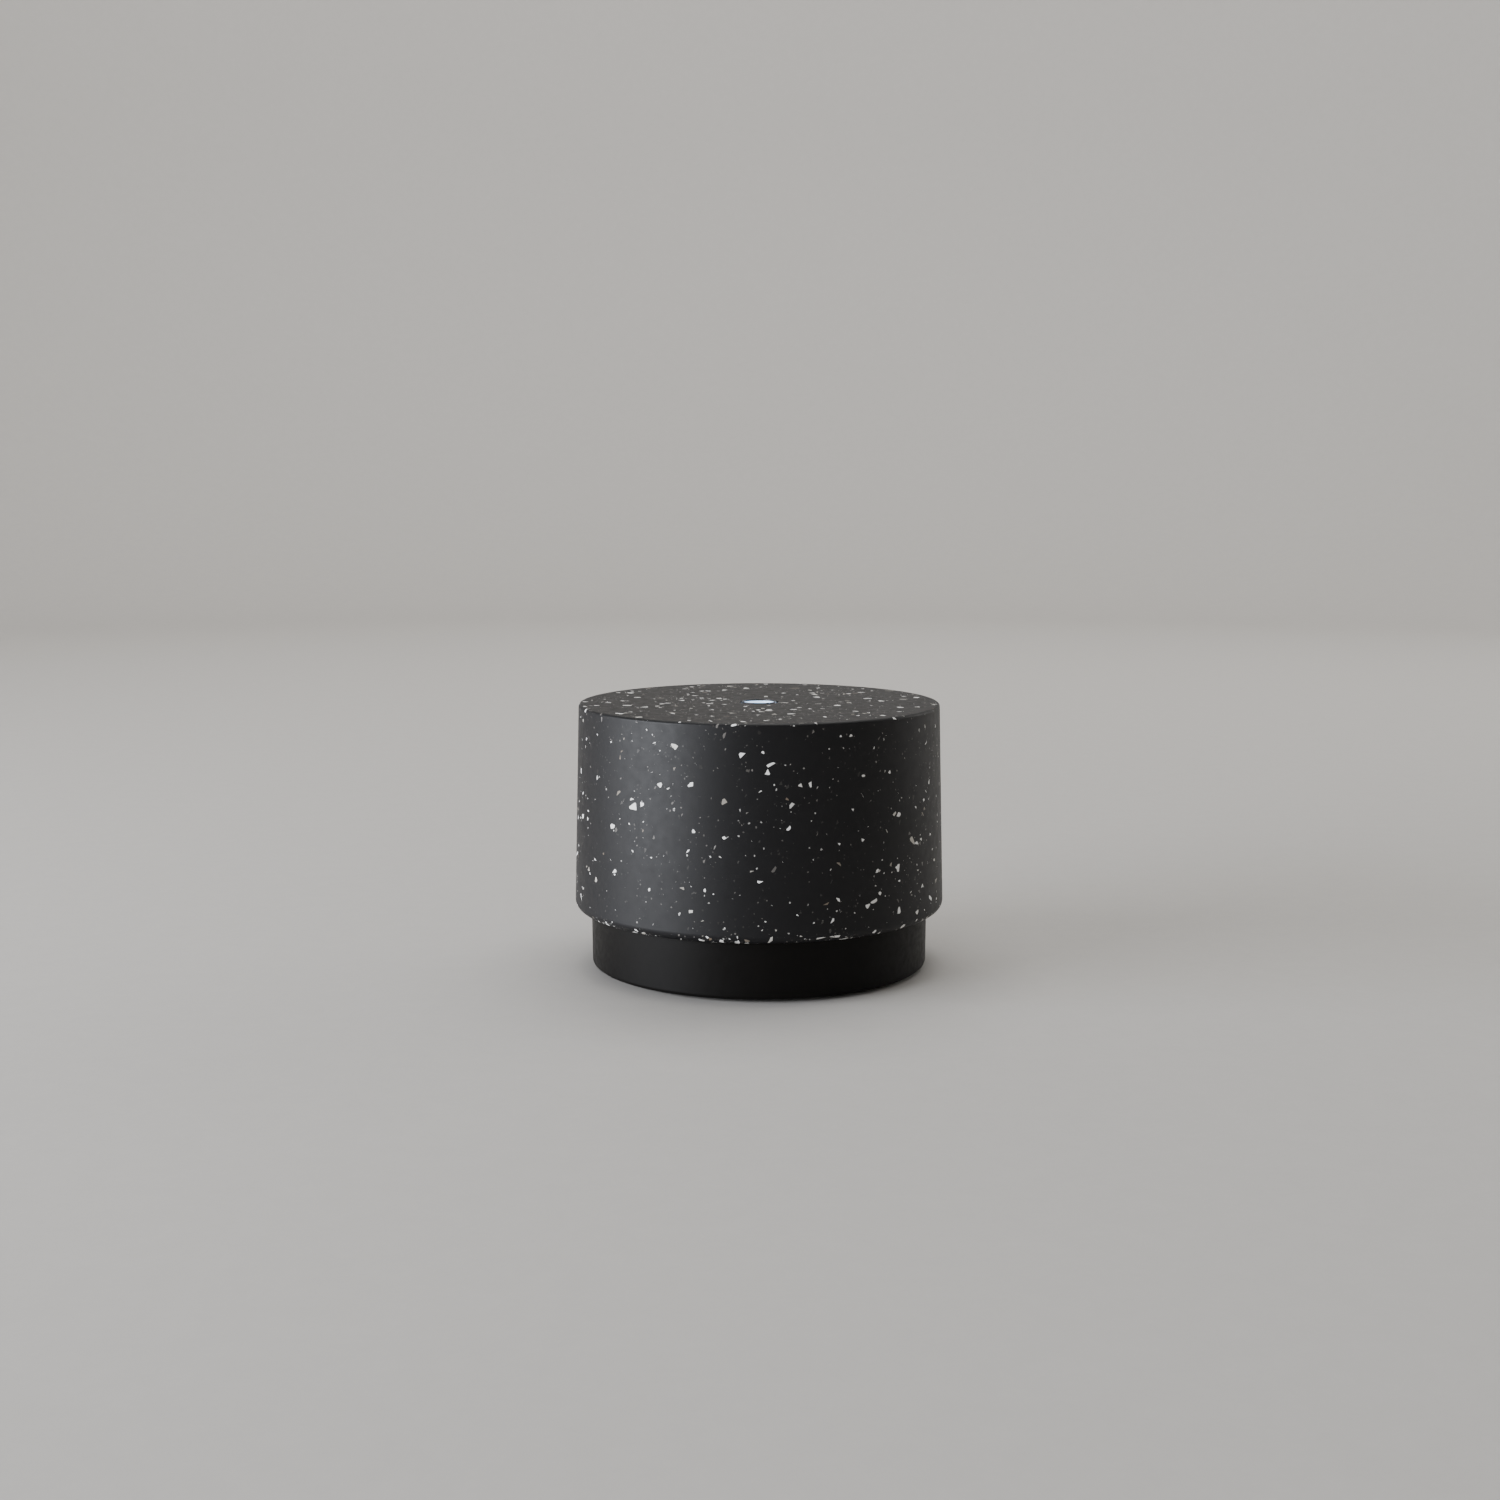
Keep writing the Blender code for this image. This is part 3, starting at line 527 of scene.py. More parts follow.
def circuit_board():
    """Green lacquer over copper tracks, which show as paler raised lines along X and Y."""
    look = Look("circuit_board", (0.015, 0.10, 0.045), 0.34)
    lacquer = look.mix(look.noise(4, detail=3), (0.010, 0.085, 0.036), (0.018, 0.115, 0.052))
    tracks = None
    for stretch, shift in (((1, 0.12, 1), (0.3, 0.7, 0)), ((0.12, 1, 1), (0.8, 0.1, 0))):
        place = look.mapped(2.4, stretch=stretch, shift=shift)
        gaps = look.texture("Voronoi", place, {"Randomness": 0.35}, feature="DISTANCE_TO_EDGE")
        lines = look.span(gaps["Distance"], 0.10, 0.13, 1.0, 0.0)
        tracks = lines if tracks is None else look.math("MAXIMUM", tracks, lines)
    colour = look.mix(look.math("MULTIPLY", tracks, 0.7), lacquer, (0.05, 0.22, 0.09))
    look.set(Base_Color=colour, Roughness=look.drift(1.5, 0.28, 0.42))
    look.bump(tracks, 0.6, 0.03)
    look.bump(look.noise(0.3), 0.3, 0.01)
    return look.mat


def brushed(name, colour, roughness, stretch=(0.05, 1, 1)):
    """Metal with fine lines drawn along X."""
    look = Look(name, colour, roughness, 1.0)
    lines = look.noise(0.12, detail=3, stretch=stretch)
    dull = [channel * 0.8 for channel in colour]
    look.set(Base_Color=look.mix(look.noise(5, detail=3), dull, colour))
    look.set(Roughness=look.span(lines, 0.3, 0.7, roughness - 0.08, roughness + 0.1))
    look.bump(lines, 0.4, 0.01)
    return look.mat


def wound(name, colour, pitch):
    """Lacquered wire laid in turns about Z, with painted shade in the grooves between the turns."""
    look = Look(name, colour, 0.3, 1.0)
    values = {"Scale": 10.0, "Distortion": 0.6}
    place = look.mapped(pitch * 20 / math.pi)
    groove = look.texture("Wave", place, values, wave_type="BANDS", bands_direction="Z")["Fac"]
    # painted shade: the grooves between the turns are darkened in the colour, as well as bumped
    dark = [channel * 0.35 for channel in colour]
    look.set(Base_Color=look.mix(groove, dark, colour), Roughness=look.drift(1.5, 0.24, 0.4))
    look.bump(groove, 0.8, 0.08)
    return look.mat


def striped_sleeve():
    """The capacitor's shrunk sleeve: dark blue with one pale stripe down its side."""
    look = plain("can_sleeve", (0.02, 0.035, 0.10), 0.3, grain=0.5, depth=0.01)
    stripe = look.math("LESS_THAN", look.axis(1), (lows("capacitor").y + 0.8) * MM)
    look.set(Base_Color=look.mix(stripe, (0.02, 0.035, 0.10), (0.45, 0.47, 0.50)))
    return look.mat


def lit_resin():
    """The lamps' resin, glowing softly."""
    look = plain("led_resin", (0.9, 0.88, 0.72), 0.25, grain=0.2, depth=0.01, mottle=0.05)
    look.set(Emission_Color=(0.75, 0.87, 1.0, 1), Emission_Strength=1.2)
    return look.mat


def sleeve(name, colour):
    return plain(name, colour, 0.38, grain=0.4, depth=0.015, mottle=0.1).mat


def build_materials():
    silicone = plain("silicone", (0.74, 0.74, 0.72), 0.55, grain=0.5, depth=0.03, mottle=0.05)
    silicone.set(Subsurface_Weight=0.3, Subsurface_Scale=0.002)
    return {
        "terrazzo_black": terrazzo(),
        "plastic_black": base_plastic(),
        "plastic_translucent": milky().mat,
        "chimney_glow": painted_glow_tube(),
        "silicone_white": silicone.mat,
        "rubber_grey": plain("rubber", (0.035, 0.035, 0.036), 0.82, grain=0.4, depth=0.06).mat,
        "steel": brushed("steel", (0.56, 0.56, 0.57), 0.3, (1, 1, 1)),
        "circuit_board": circuit_board(),
        "copper": wound("copper", (0.72, 0.33, 0.14), 0.35),
        "fan_grey": plain("fan_grey", (0.085, 0.085, 0.09), 0.42, grain=0.3).mat,
        "ferrite": plain("ferrite", (0.045, 0.045, 0.05), 0.6, grain=0.2, depth=0.05).mat,
        "can_sleeve": striped_sleeve(),
        "chip_black": plain("chip_black", (0.016, 0.016, 0.018), 0.5, grain=0.15, depth=0.02).mat,
        "aluminium": brushed("aluminium", (0.72, 0.73, 0.75), 0.32),
        "led_white": lit_resin(),
        "mark_ink": plain("mark_ink", (0.34, 0.34, 0.33), 0.6, grain=0.2).mat,
        "wire_sleeve": sleeve("wire_red", (0.42, 0.018, 0.015)),
    }


# ---- cover and inner lid

def make_cover(mats):
    """The terrazzo shell, with a fine round at its top rim and a fuller one at its lower edge."""
    bottom, top = heights("outer_cover")
    radius = highs("outer_cover").x + 0.1  # the sharp corner that the lower round cuts off
    top_radius = radius - COVER_DRAFT
    profile = rounded([
        (OUTLET_RADIUS, top - COVER_WALL, 0.3), (top_radius - COVER_WALL, top - COVER_WALL, 2, 8),
        (radius - COVER_WALL, bottom, 0.5, 4), (radius, bottom, 3, 14), (top_radius, top, 1, 8),
        (OUTLET_RADIUS, top, 0.5, 5),
    ])
    fit(turned("cover_shell", profile, mats["terrazzo_black"], FINE), "outer_cover")


def make_seat_ring(mats):
    """The ring inside the cover's foot: its short sleeve slides down round the base's spigot."""
    bottom, top = heights("cover_seat_ring")
    outer = highs("cover_seat_ring").x
    inner = outer - 3.7
    profile = rounded([
        (outer, bottom, 0.3), (outer - 0.2, top, 0.2, 2), (outer - 1.6, top, 0.4),
        (outer - 1.6, bottom + 2, 0.6, 4), (inner, bottom + 2, 0.3), (inner, bottom, 0.5, 4),
    ])
    fit(turned("seat_ring", profile, mats["plastic_black"], FINE), "cover_seat_ring")


def make_lid(mats):
    """The inner lid: a shallow dome with a grip rim, a stepped hub and a skirt down into the tank."""
    rim = highs("tank_lid").x
    skirt_bottom, hub = heights("tank_lid")
    bottom = skirt_bottom + 5
    hole = 8.2
    skirt = rim - 3.2
    profile = rounded([
        (rim, bottom, 0.3), (rim, bottom + 2.2, 0.9, 6), (rim - 2.4, bottom + 2.3, 0.5, 4),
        (rim - 3.0, bottom + 1.9, 0.5, 4), (rim - 5.0, bottom + 2.8, 3, 5),
        (rim - 24, bottom + 8, 30, 10), (hole + 5.4, hub - 0.5, 1.2, 5), (hole + 4.4, hub, 0.3),
        (hole, hub, 0.3), (hole, hub - 4, 0.3), (hole + 2, hub - 4, 0.3),
        (hole + 3.6, hub - 2.2, 1, 4), (rim - 24, bottom + 5.8, 30, 10),
        (skirt - 2.2, bottom + 0.9, 1.5, 4), (skirt - 2.2, skirt_bottom, 0.5, 4),
        (skirt, skirt_bottom, 0.8, 4), (skirt, bottom, 0.3),
    ])
    fit(turned("inner_lid", profile, mats["plastic_translucent"], FINE), "tank_lid")


def make_gaskets(mats):
    """The two flat seals at the tank's rim and foot, each with a bead pressed along its middle."""
    for node in ("lid_seal", "tank_gasket"):
        low, high = heights(node)
        outer = highs(node).x
        centre = outer - 1.0
        profile = rounded([
            (outer, low + 0.2, 0.15), (outer, high - 0.2, 0.15), (centre + 0.5, high - 0.2),
            (centre, high, 0.2), (centre - 0.5, high - 0.2), (outer - 2, high - 0.2, 0.15),
            (outer - 2, low + 0.2, 0.15), (centre - 0.5, low + 0.2), (centre, low, 0.2),
            (centre + 0.5, low + 0.2),
        ])
        fit(turned(f"{node}_bead", profile, mats["silicone_white"], 192), node)


def make_chimney(mats):
    """The nozzle that carries the mist up into the outlet: a flared tube with a collar on the lid."""
    low, top = heights("mist_chimney")
    hub = low + 6.5
    tube = OUTLET_RADIUS - 0.5
    collar = highs("mist_chimney").x
    plug = collar - 3.2
    profile = rounded([
        (tube, top, 0.25, 5), (tube - 0.45, top, 0.1), (tube - 0.6, top - 1.6, 1.5, 4),
        (CHIMNEY_BORE, top - 4.5, 4, 6), (CHIMNEY_BORE, hub + 3.5, 4, 6), (tube + 0.2, low, 0.5, 4),
        (plug, low, 0.5, 4), (plug, hub + 0.3, 0.2), (collar, hub + 0.3, 0.3, 4),
        (collar, hub + 1.7, 0.6, 5), (tube, hub + 3.5, 2.5, 6),
    ])
    fit(turned("chimney_tube", profile, mats["chimney_glow"], 96), "mist_chimney")


# ---- tank and mist maker

def make_tank(mats):
    """The bowl, with a raised fill line inside it, three screw posts and the mist maker's socket."""
    radius = highs("water_tank").x
    socket_bottom, rim = heights("water_tank")
    socket_top = socket_bottom + 4.8
    bottom = rim - 41.8
    floor = rim - 37
    side = floor + 15
    inner = radius - TANK_WALL
    level = rim - 9
    throat = 8.5
    seat = 12.8
    socket = 17.5
    profile = rounded([
        (radius, bottom, 0.4), (radius, rim, 0.6, 5), (inner, rim, 0.6, 5),
        (inner - 0.1, level + 0.5), (inner - 0.5, level + 0.1), (inner - 0.5, level - 0.4),
        (inner - 0.2, level - 0.8), (inner - 0.6, side, 9, 10), (30, floor + 1.5, 12, 8),
        (throat, floor, 0.4), (throat, socket_top), (seat, socket_top),
        (seat, socket_bottom, 0.3, 2), (socket, socket_bottom, 0.5), (socket, floor - 2.2, 0.6),
        (30.6, floor - 0.8), (inner, side - 2.6), (inner, bottom, 0.4),
    ])
    bowl = turned("tank_bowl", profile, mats["plastic_translucent"], 192)
    posts = [peg(3.0, bottom - 1.3, floor + 5.4, spot, 32) for spot in round_circle(*TANK_SCREWS)]
    holes = [peg(1.3, bottom - 4, bottom + 7.4, spot) for spot in round_circle(*TANK_SCREWS)]
    holes += [peg(1.1, socket_bottom - 2, socket_bottom + 4, spot) for spot in spots("piezo_screw")]
    pipe = at(middle("air_pipe").x, 0)
    half = half_width("air_pipe")
    holes.append(peg(half + 0.3, bottom - 4, side, pipe, 48))
    carve(bowl, posts, "UNION")
    fit(carve(bowl, holes), "water_tank")
    tube = washer(half - 1.3, half, *heights("air_pipe"), 0.4)
    fit(turned("pipe_tube", tube, mats["plastic_translucent"], ROUND, pipe), "air_pipe")


def make_mist_maker(mats):
    """The vibrating disc in its silicone grip, and the steel ring that clamps it into the socket."""
    low, high = heights("piezo_disc")
    radius = highs("piezo_disc").x
    disc = rounded([
        (0, low + 0.25), (radius - 2.6, low + 0.25), (radius - 2.8, low, 0.1, 2),
        (radius, low, 0.2), (radius, high - 0.1, 0.2), (radius - 1.6, high - 0.1),
        (radius - 1.9, high - 0.35, 0.1, 2), (4.2, high - 0.35, 0.4), (3.0, high - 0.1, 0.4),
        (0, high),
    ])
    fit(turned("piezo_plate", disc, mats["steel"], 96), "piezo_disc")
    foot, top = heights("piezo_seal")
    outer = highs("piezo_seal").x
    window = 8.6
    grip = radius + 0.3
    boot = rounded([
        (outer, foot, 0.3), (outer, top, 0.3), (window, top, 0.3), (window, high + 0.3),
        (grip, high + 0.3), (grip, low - 0.3), (window, low - 0.3), (window, foot, 0.3),
    ])
    fit(turned("piezo_boot", boot, mats["silicone_white"], 96), "piezo_seal")
    low, high = heights("piezo_clamp")
    ring = turned("clamp_ring", washer(7, highs("piezo_clamp").x, low, high, 0.25), mats["steel"], 96)
    holes = [peg(1.1, low - PAST, high + PAST, spot) for spot in spots("piezo_screw")]
    fit(carve(ring, holes), "piezo_clamp")


# ---- base

def make_base(mats):
    """The inset ring under the cover, with its shoulder, spigot, deck, screw posts and openings."""
    low, high = heights("base_housing")
    radius = highs("base_housing").x
    shoulder = high - 8.3
    deck = high - 3.4
    under = deck - 2.4
    spigot = radius - 2.9
    lip = spigot - 1.8
    well = 20
    profile = rounded([
        (radius - 0.2, low, 1.5, 10), (radius, shoulder, 0.5, 6), (spigot, shoulder, 0.3),
        (spigot, high, 0.4, 4), (lip, high, 0.4, 4), (lip, deck, 0.5, 4), (well, deck, 0.4),
        (well, under, 0.4), (lip - 0.2, under), (lip - 0.2, shoulder - 2.6),
        (radius - 2.3, shoulder - 3.6), (radius - 2.3, low, 0.2, 2),
    ])
    ring = turned("base_ring", profile, mats["plastic_black"], FINE)
    posts = [peg(3.2, low + 2.8, under + 1, spot, 32) for spot in round_circle(*BOSSES)]
    holes = [peg(1.1, low + 1.5, low + 14.5, spot) for spot in round_circle(*BOSSES)]
    holes += [peg(1.5, under - PAST, deck + PAST, spot) for spot in round_circle(*TANK_SCREWS)]
    holes.append(peg(7.1, under - PAST, deck + PAST, at(middle("air_pipe").x, 0), 48))
    inlet = outward(90, middle("dc_jack").z)
    start = 50
    reach = radius + 6
    holes.append(peg(6.0, start, reach, inlet, 64))
    dish = [(0, radius - 0.5), (7.4, radius - 0.5), (11, reach), (0, reach)]
    holes.append(turned("jack_dish", dish, None, 96, inlet))
    for name, angle in BUTTON_ANGLES.items():
        half_x, half_y = (half + BUTTON_GAP for half in BUTTON_HALF)
        outline = rounded_rectangle(half_x, half_y, BUTTON_CORNER + BUTTON_GAP)
        place = outward(angle, middle(f"{name}_button").z)
        holes.append(slab(f"{name}_way", outline, start, reach, None, place))
    carve(ring, posts, "UNION")
    fit(carve(ring, holes, sharp=30), "base_housing")


def make_bottom(mats):
    """The bottom plate, with the fan's air slots, sunk screw holes, foot pockets and inner posts."""
    low = lows("bottom_cover").z
    top = low + 2.5
    radius = highs("bottom_cover").x
    profile = rounded([
        (0, low + 0.4), (14, low + 0.4), (14.6, low, 0.3), (radius - 2.7, low, 0.3),
        (radius - 2.3, low + 0.4, 0.2, 2), (radius - 1.8, low + 0.4, 0.2, 2),
        (radius - 1.4, low, 0.3), (radius, low, 0.4, 4), (radius, top, 0.3), (0, top),
    ])
    plate = turned("bottom_plate", profile, mats["plastic_black"], 192)
    fan = middle("fan_rotor").x
    posts = []
    holes = []
    for kind, held in (("fan_screw", "fan_frame"), ("board_screw", "main_board")):
        seat = lows(held).z - 0.3
        for spot in spots(kind):
            posts.append(peg(2.6, low + 2, seat, spot, 32))
            holes.append(peg(1.25, low + 1.2, seat + PAST, spot))
    for i in range(7):
        y = (i - 3) * 4.4
        outline = rounded_rectangle(math.sqrt(FAN_BORE ** 2 - y ** 2) - 1.0, 1.1, 1.08)
        holes.append(slab(f"air_slot_{i}", outline, low - PAST, top + PAST, None, at(fan, y)))
    sink = [(0, low - PAST), (3.2, low - PAST), (3.2, low + 1.6)]
    sink += [(1.5, low + 1.6), (1.5, top + PAST), (0, top + PAST)]
    for spot, foot in zip(round_circle(*BOSSES), numbered("foot")):
        holes.append(turned("sink", sink, None, 48, spot))
        holes.append(peg(5.3, low - PAST, highs(foot).z + 0.3, over(foot), 48))
    carve(plate, posts, "UNION")
    fit(carve(plate, holes, sharp=30), "bottom_cover")


def make_feet(mats):
    """Soft pads with rings pressed into the face that meets the table."""
    for i, node in enumerate(numbered("foot")):
        radius = half_width(node)
        top = highs(node).z
        corners = [(0, 0)]
        for start in (1.2, 2.8):
            for along, depth in ((0, 0), (0.3, 0.3), (0.6, 0.3), (0.9, 0)):
                corners.append((start + along, depth, 0.1, 2))
        corners += [(radius, 0, 0.5, 4), (radius, top, 0.2), (0, top)]
        pad_shape = rounded(corners)
        fit(turned(f"foot_pad_{i + 1}", pad_shape, mats["rubber_grey"], ROUND, over(node)), node)


def make_screw(mats, node, head_height, shank, downward):
    """A pan-head screw with a cross recess and a thread."""
    low, high = heights(node)
    radius = half_width(node)
    length = high - low
    corners = [(0, 0), (0.5 * radius, 0, 0.3), (radius, 0.5 * head_height, 0.3, 4)]
    corners += [(radius, head_height, 0.1, 2), (shank - 0.1, head_height)]
    pitch = 0.6
    turns = int((length - head_height - 1.6) / pitch)
    for turn in range(turns):
        rise = head_height + 0.4 + turn * pitch
        corners += [(shank - 0.1, rise), (shank + 0.08, rise + 0.25), (shank + 0.08, rise + 0.35)]
    corners += [(shank - 0.1, length - 1.1), (0, length)]
    place = over(node) @ at(0, 0, low)
    if downward:
        place = over(node) @ at(0, 0, high) @ spin(180, "X")
    body = turned(f"{node}_body", rounded(corners), mats["steel"], 32, place, 30)
    # the recess narrows from its mouth to its floor: half sizes as shares of the head's radius, then height
    ends = ((0.62, 0.15, -0.5), (0.3, 0.1, 0.65 * head_height))
    bars = []
    for angle in (20, 110):
        sections = []
        for half_x, half_y, z in ends:
            outline = rounded_rectangle(half_x * radius, half_y * radius, 0.05, 2)
            sections.append([(x, y, z) for x, y in outline])
        bars.append(loft("recess", sections, None, place @ spin(angle)))
    fit(carve(body, bars), node)


def make_screws(mats):
    kinds = {
        "base_screw": (1.2, 0.9, False),
        "tank_screw": (1.5, 1.0, False),
        "piezo_screw": (1.2, 0.8, False),
        "fan_screw": (1.3, 0.9, True),
        "board_screw": (1.2, 0.8, True),
    }
    for kind, (head_height, shank, downward) in kinds.items():
        for node in numbered(kind):
            make_screw(mats, node, head_height, shank, downward)


def make_jack(mats):
    """The power inlet: a collar with a rounded mouth on a square body, and its centre pin."""
    face = highs("dc_jack").y
    back = face - 11.5
    profile = rounded([
        (0, back), (5.6, back, 0.4), (5.6, face, 0.5, 6), (4.3, face, 0.2), (3.9, face - 0.5, 0.2),
        (3.2, face - 0.9, 0.3), (3.2, back + 2.5), (0, back + 2.5),
    ])
    place = outward(90, middle("dc_pin").z)
    jack = turned("inlet_collar", profile, mats["plastic_black"], 96, place)
    block = cushion("inlet_body", 4.6, 4.6, 0.8, back - 3.0, back + 1.5, 0.3, None, place)
    fit(carve(jack, [block], "UNION"), "dc_jack")
    tip = highs("dc_pin").y
    pin = rounded([
        (0, back + 2.8), (1.0, back + 2.8, 0.1, 2), (1.0, tip - 0.3, 0.3, 4), (0.55, tip, 0.2, 4),
        (0, tip),
    ])
    fit(turned("inlet_pin", pin, mats["steel"], 32, place), "dc_pin")


def make_button(mats, name, angle):
    """A key that follows the base's curve, with a dished face, a flange and a small raised, inked mark."""
    node = f"{name}_button"
    face = BUTTON_FACE
    back = face - 4.75
    half_x, half_y = BUTTON_HALF
    # (inset, height) steps from the flange at the back, round the rim and down into the dish
    steps = ((-0.9, back), (-0.9, back + 1.1), (0, back + 1.1), (0, face - 0.6), (0.06, face - 0.32))
    steps += ((0.24, face - 0.1), (0.5, face), (0.8, face - 0.03), (1.3, face - 0.16), (2.0, face - 0.26))
    steps += ((2.7, face - 0.3), (3.0, face - 0.3))
    sections = []
    for inset, rise in steps:
        radius = max(0.2, BUTTON_CORNER - inset) if inset >= 0 else 1.0
        outline = rounded_rectangle(half_x - inset, half_y - inset, radius)
        section = []
        for x, y in outline:
            drop = face - math.sqrt(face ** 2 - x ** 2) if inset >= 0 else 0
            section.append((x, y, rise - drop))
        sections.append(section)
    place = outward(angle, middle(node).z)
    key = loft(f"{name}_key", sections, mats["plastic_black"], place, 30)
    marks = {
        "mist": pad(0.9, face - 1, face - 0.12, 0.12),
        "light": washer(0.8, 1.25, face - 1, face - 0.12, 0.12),
    }
    mark = turned("mark", marks[name], mats["mark_ink"], 32, place)
    fit(carve(key, [mark], "UNION", 30), node)
    front = back - 0.3
    stem = turned(f"{name}_stem", pad(1.7, front - 3.5, front, 0.3), mats["plastic_black"], 32, place)
    fit(stem, f"{name}_plunger")
    top = front - 1.2
    box = cushion(f"{name}_switch_body", 3, 3, 0.5, top - 3.5, top, 0.2, mats["steel"], place)
    fit(carve(box, [peg(2.0, front - 4.5, top + PAST, place, 48)]), f"{name}_switch")
    low = top - 5.0
    board = cushion(f"{name}_board", 7, 6, 0.8, low, low + 1.2, 0.1, mats["circuit_board"], place)
    fit(board, f"{name}_switch_board")


def make_buttons(mats):
    for name, angle in BUTTON_ANGLES.items():
        make_button(mats, name, angle)


# ---- fan, boards and lamps

def make_blade(name, hub, tip, centre, angle):
    """One curved blade: its chord leans over more at the tip, and its middle is thickest."""
    half_chord = 4.5
    sections = []
    for step in range(9):
        part = step / 8
        radius = hub + (tip - hub) * part
        pitch = math.radians(42 + 12 * part)
        outline = []
        for k in range(24):
            turn = 2 * math.pi * k / 24
            along = half_chord * math.cos(turn)
            through = 0.42 * math.sin(turn) + 0.7 * (1 - (along / half_chord) ** 2) - 0.35
            y = along * math.sin(pitch) + through * math.cos(pitch)
            z = along * math.cos(pitch) - through * math.sin(pitch)
            outline.append((math.sqrt(max(radius ** 2 - y ** 2, 1)), y, z))
        sections.append(outline)
    return loft(name, sections, None, at(*centre) @ spin(angle))


def make_fan(mats):
    """A small axial fan: square frame with three spokes, wound stator, and a rotor with curved blades."""
    low, high = heights("fan_frame")
    half = half_width("fan_frame")
    axle = middle("fan_frame").x
    place = at(axle, 0)
    box = cushion("fan_housing", half, half, 3.0, low, high, 0.3, mats["plastic_black"], place)
    throat = rounded([
        (0, low + 1.2), (FAN_BORE, low + 1.2), (FAN_BORE, high - 0.8, 2, 4),
        (FAN_BORE + 0.9, high + PAST), (0, high + PAST),
    ])
    tools = [turned("throat", throat, None, 96, place)]
    for i in range(3):
        outer = [on_circle(FAN_BORE - 0.8, 120 * i + 6 + 108 * step / 24) for step in range(25)]
        inner = [on_circle(8.5, 120 * i + 110 - 100 * step / 24) for step in range(25)]
        tools.append(slab(f"inlet_{i}", outer + inner, low - PAST, low + 2, None, place))
    corner = 14.8
    for sx, sy in SIGNS:
        spot = at(axle + corner * sx, corner * sy)
        tools.append(peg(1.4, low - PAST, high + PAST, spot, 32))
    fit(carve(box, tools, sharp=30), "fan_frame")

    foot, top = heights("fan_stator")
    coil = rounded([
        (1.2, foot, 0.2, 2), (3.0, foot, 0.2, 2), (3.4, foot + 0.8, 0.3), (6.8, foot + 0.4, 0.8, 4),
        (6.8, top - 0.4, 0.8, 4), (3.4, top - 0.8, 0.3), (3.0, top, 0.2, 2), (1.2, top, 0.2, 2),
    ])
    fit(turned("fan_coil", coil, mats["copper"], ROUND, place), "fan_stator")

    hub = rounded([
        (0, high - 0.9), (2.6, high - 0.9, 0.2, 2), (2.9, high - 0.6, 0.2, 2),
        (8.2, high - 0.6, 1.0, 6), (8.2, low + 2.0, 0.2, 2), (7.3, low + 2.0, 0.2, 2),
        (7.3, high - 1.8), (0.8, high - 1.8), (0.8, low + 2.4, 0.2, 2), (0, low + 2.4),
    ])
    rotor = turned("fan_wheel", hub, mats["fan_grey"], ROUND, place)
    spot = (axle, 0, high - 4.7)
    angles = [360 * i / BLADE_COUNT for i in range(BLADE_COUNT)]
    carve(rotor, [make_blade("blade", 7.7, 15.7, spot, angle) for angle in angles], "UNION")
    fit(rotor, "fan_rotor")


def make_duct(mats):
    """The soft funnel that leads the fan's air over to the pipe through the tank."""
    low, top = heights("air_duct")
    fan = middle("fan_rotor").x
    lean = middle("air_pipe").x - fan
    mouth = 17.2
    neck = 6.5
    wall = 1.3
    profile = [(mouth, low, 0), (mouth, low + 1.2, 0)]
    inside = []
    for step in range(1, 12):
        part = step / 12
        ease = part * part * (3 - 2 * part)
        radius = mouth + (neck - mouth) * ease
        profile.append((radius, low + 1.2 + 5.5 * part, lean * ease))
        inside.append((radius - wall, low + 0.6 + 6.1 * part, lean * ease))
    for radius, height in ((neck, low + 6.7), (neck, top), (neck - wall, top), (neck - wall, low + 6.7)):
        profile.append((radius, height, lean))
    profile += [*reversed(inside), (mouth - wall, low, 0)]
    fit(turned("duct_funnel", profile, mats["silicone_white"], ROUND, at(fan, 0)), "air_duct")


def make_board(mats):
    """The driver board, with holes for its two screws."""
    low, high = heights("main_board")
    half = (highs("main_board") - lows("main_board")) / 2
    place = over("main_board")
    board = cushion("driver_board", half.x, half.y, 2.0, low, high, 0.1, mats["circuit_board"], place)
    holes = [peg(1.2, low - PAST, high + PAST, spot, 32) for spot in spots("board_screw")]
    fit(carve(board, holes), "main_board")


def make_chip(mats):
    """The driver chip: a black body, dotted at one corner, on two rows of bent legs."""
    low, high = heights("driver_chip")
    place = over("driver_chip")
    body_half = highs("driver_chip").y - middle("driver_chip").y - 0.9
    chip = cushion("chip_body", 4.5, body_half, 0.2, low + 0.15, high, 0.15, mats["chip_black"], place)
    carve(chip, [peg(0.4, high - 0.12, high + PAST, place @ at(-3.6, -body_half + 0.8))])
    bend = ((-0.3, 0.85), (0.3, 0.85), (0.5, 0.15), (0.9, 0.15), (0.9, 0), (0.35, 0), (0.2, 0.7), (-0.3, 0.7))
    legs = []
    for row in (1, -1):
        for i in range(7):
            middle_x = (i - 3) * 1.27
            sections = []
            for x in (middle_x - 0.2, middle_x + 0.2):
                sections.append([(x, row * (body_half + out), low + rise) for out, rise in bend])
            legs.append(loft("leg", sections, mats["steel"], place))
    fit(carve(chip, legs, "UNION"), "driver_chip")


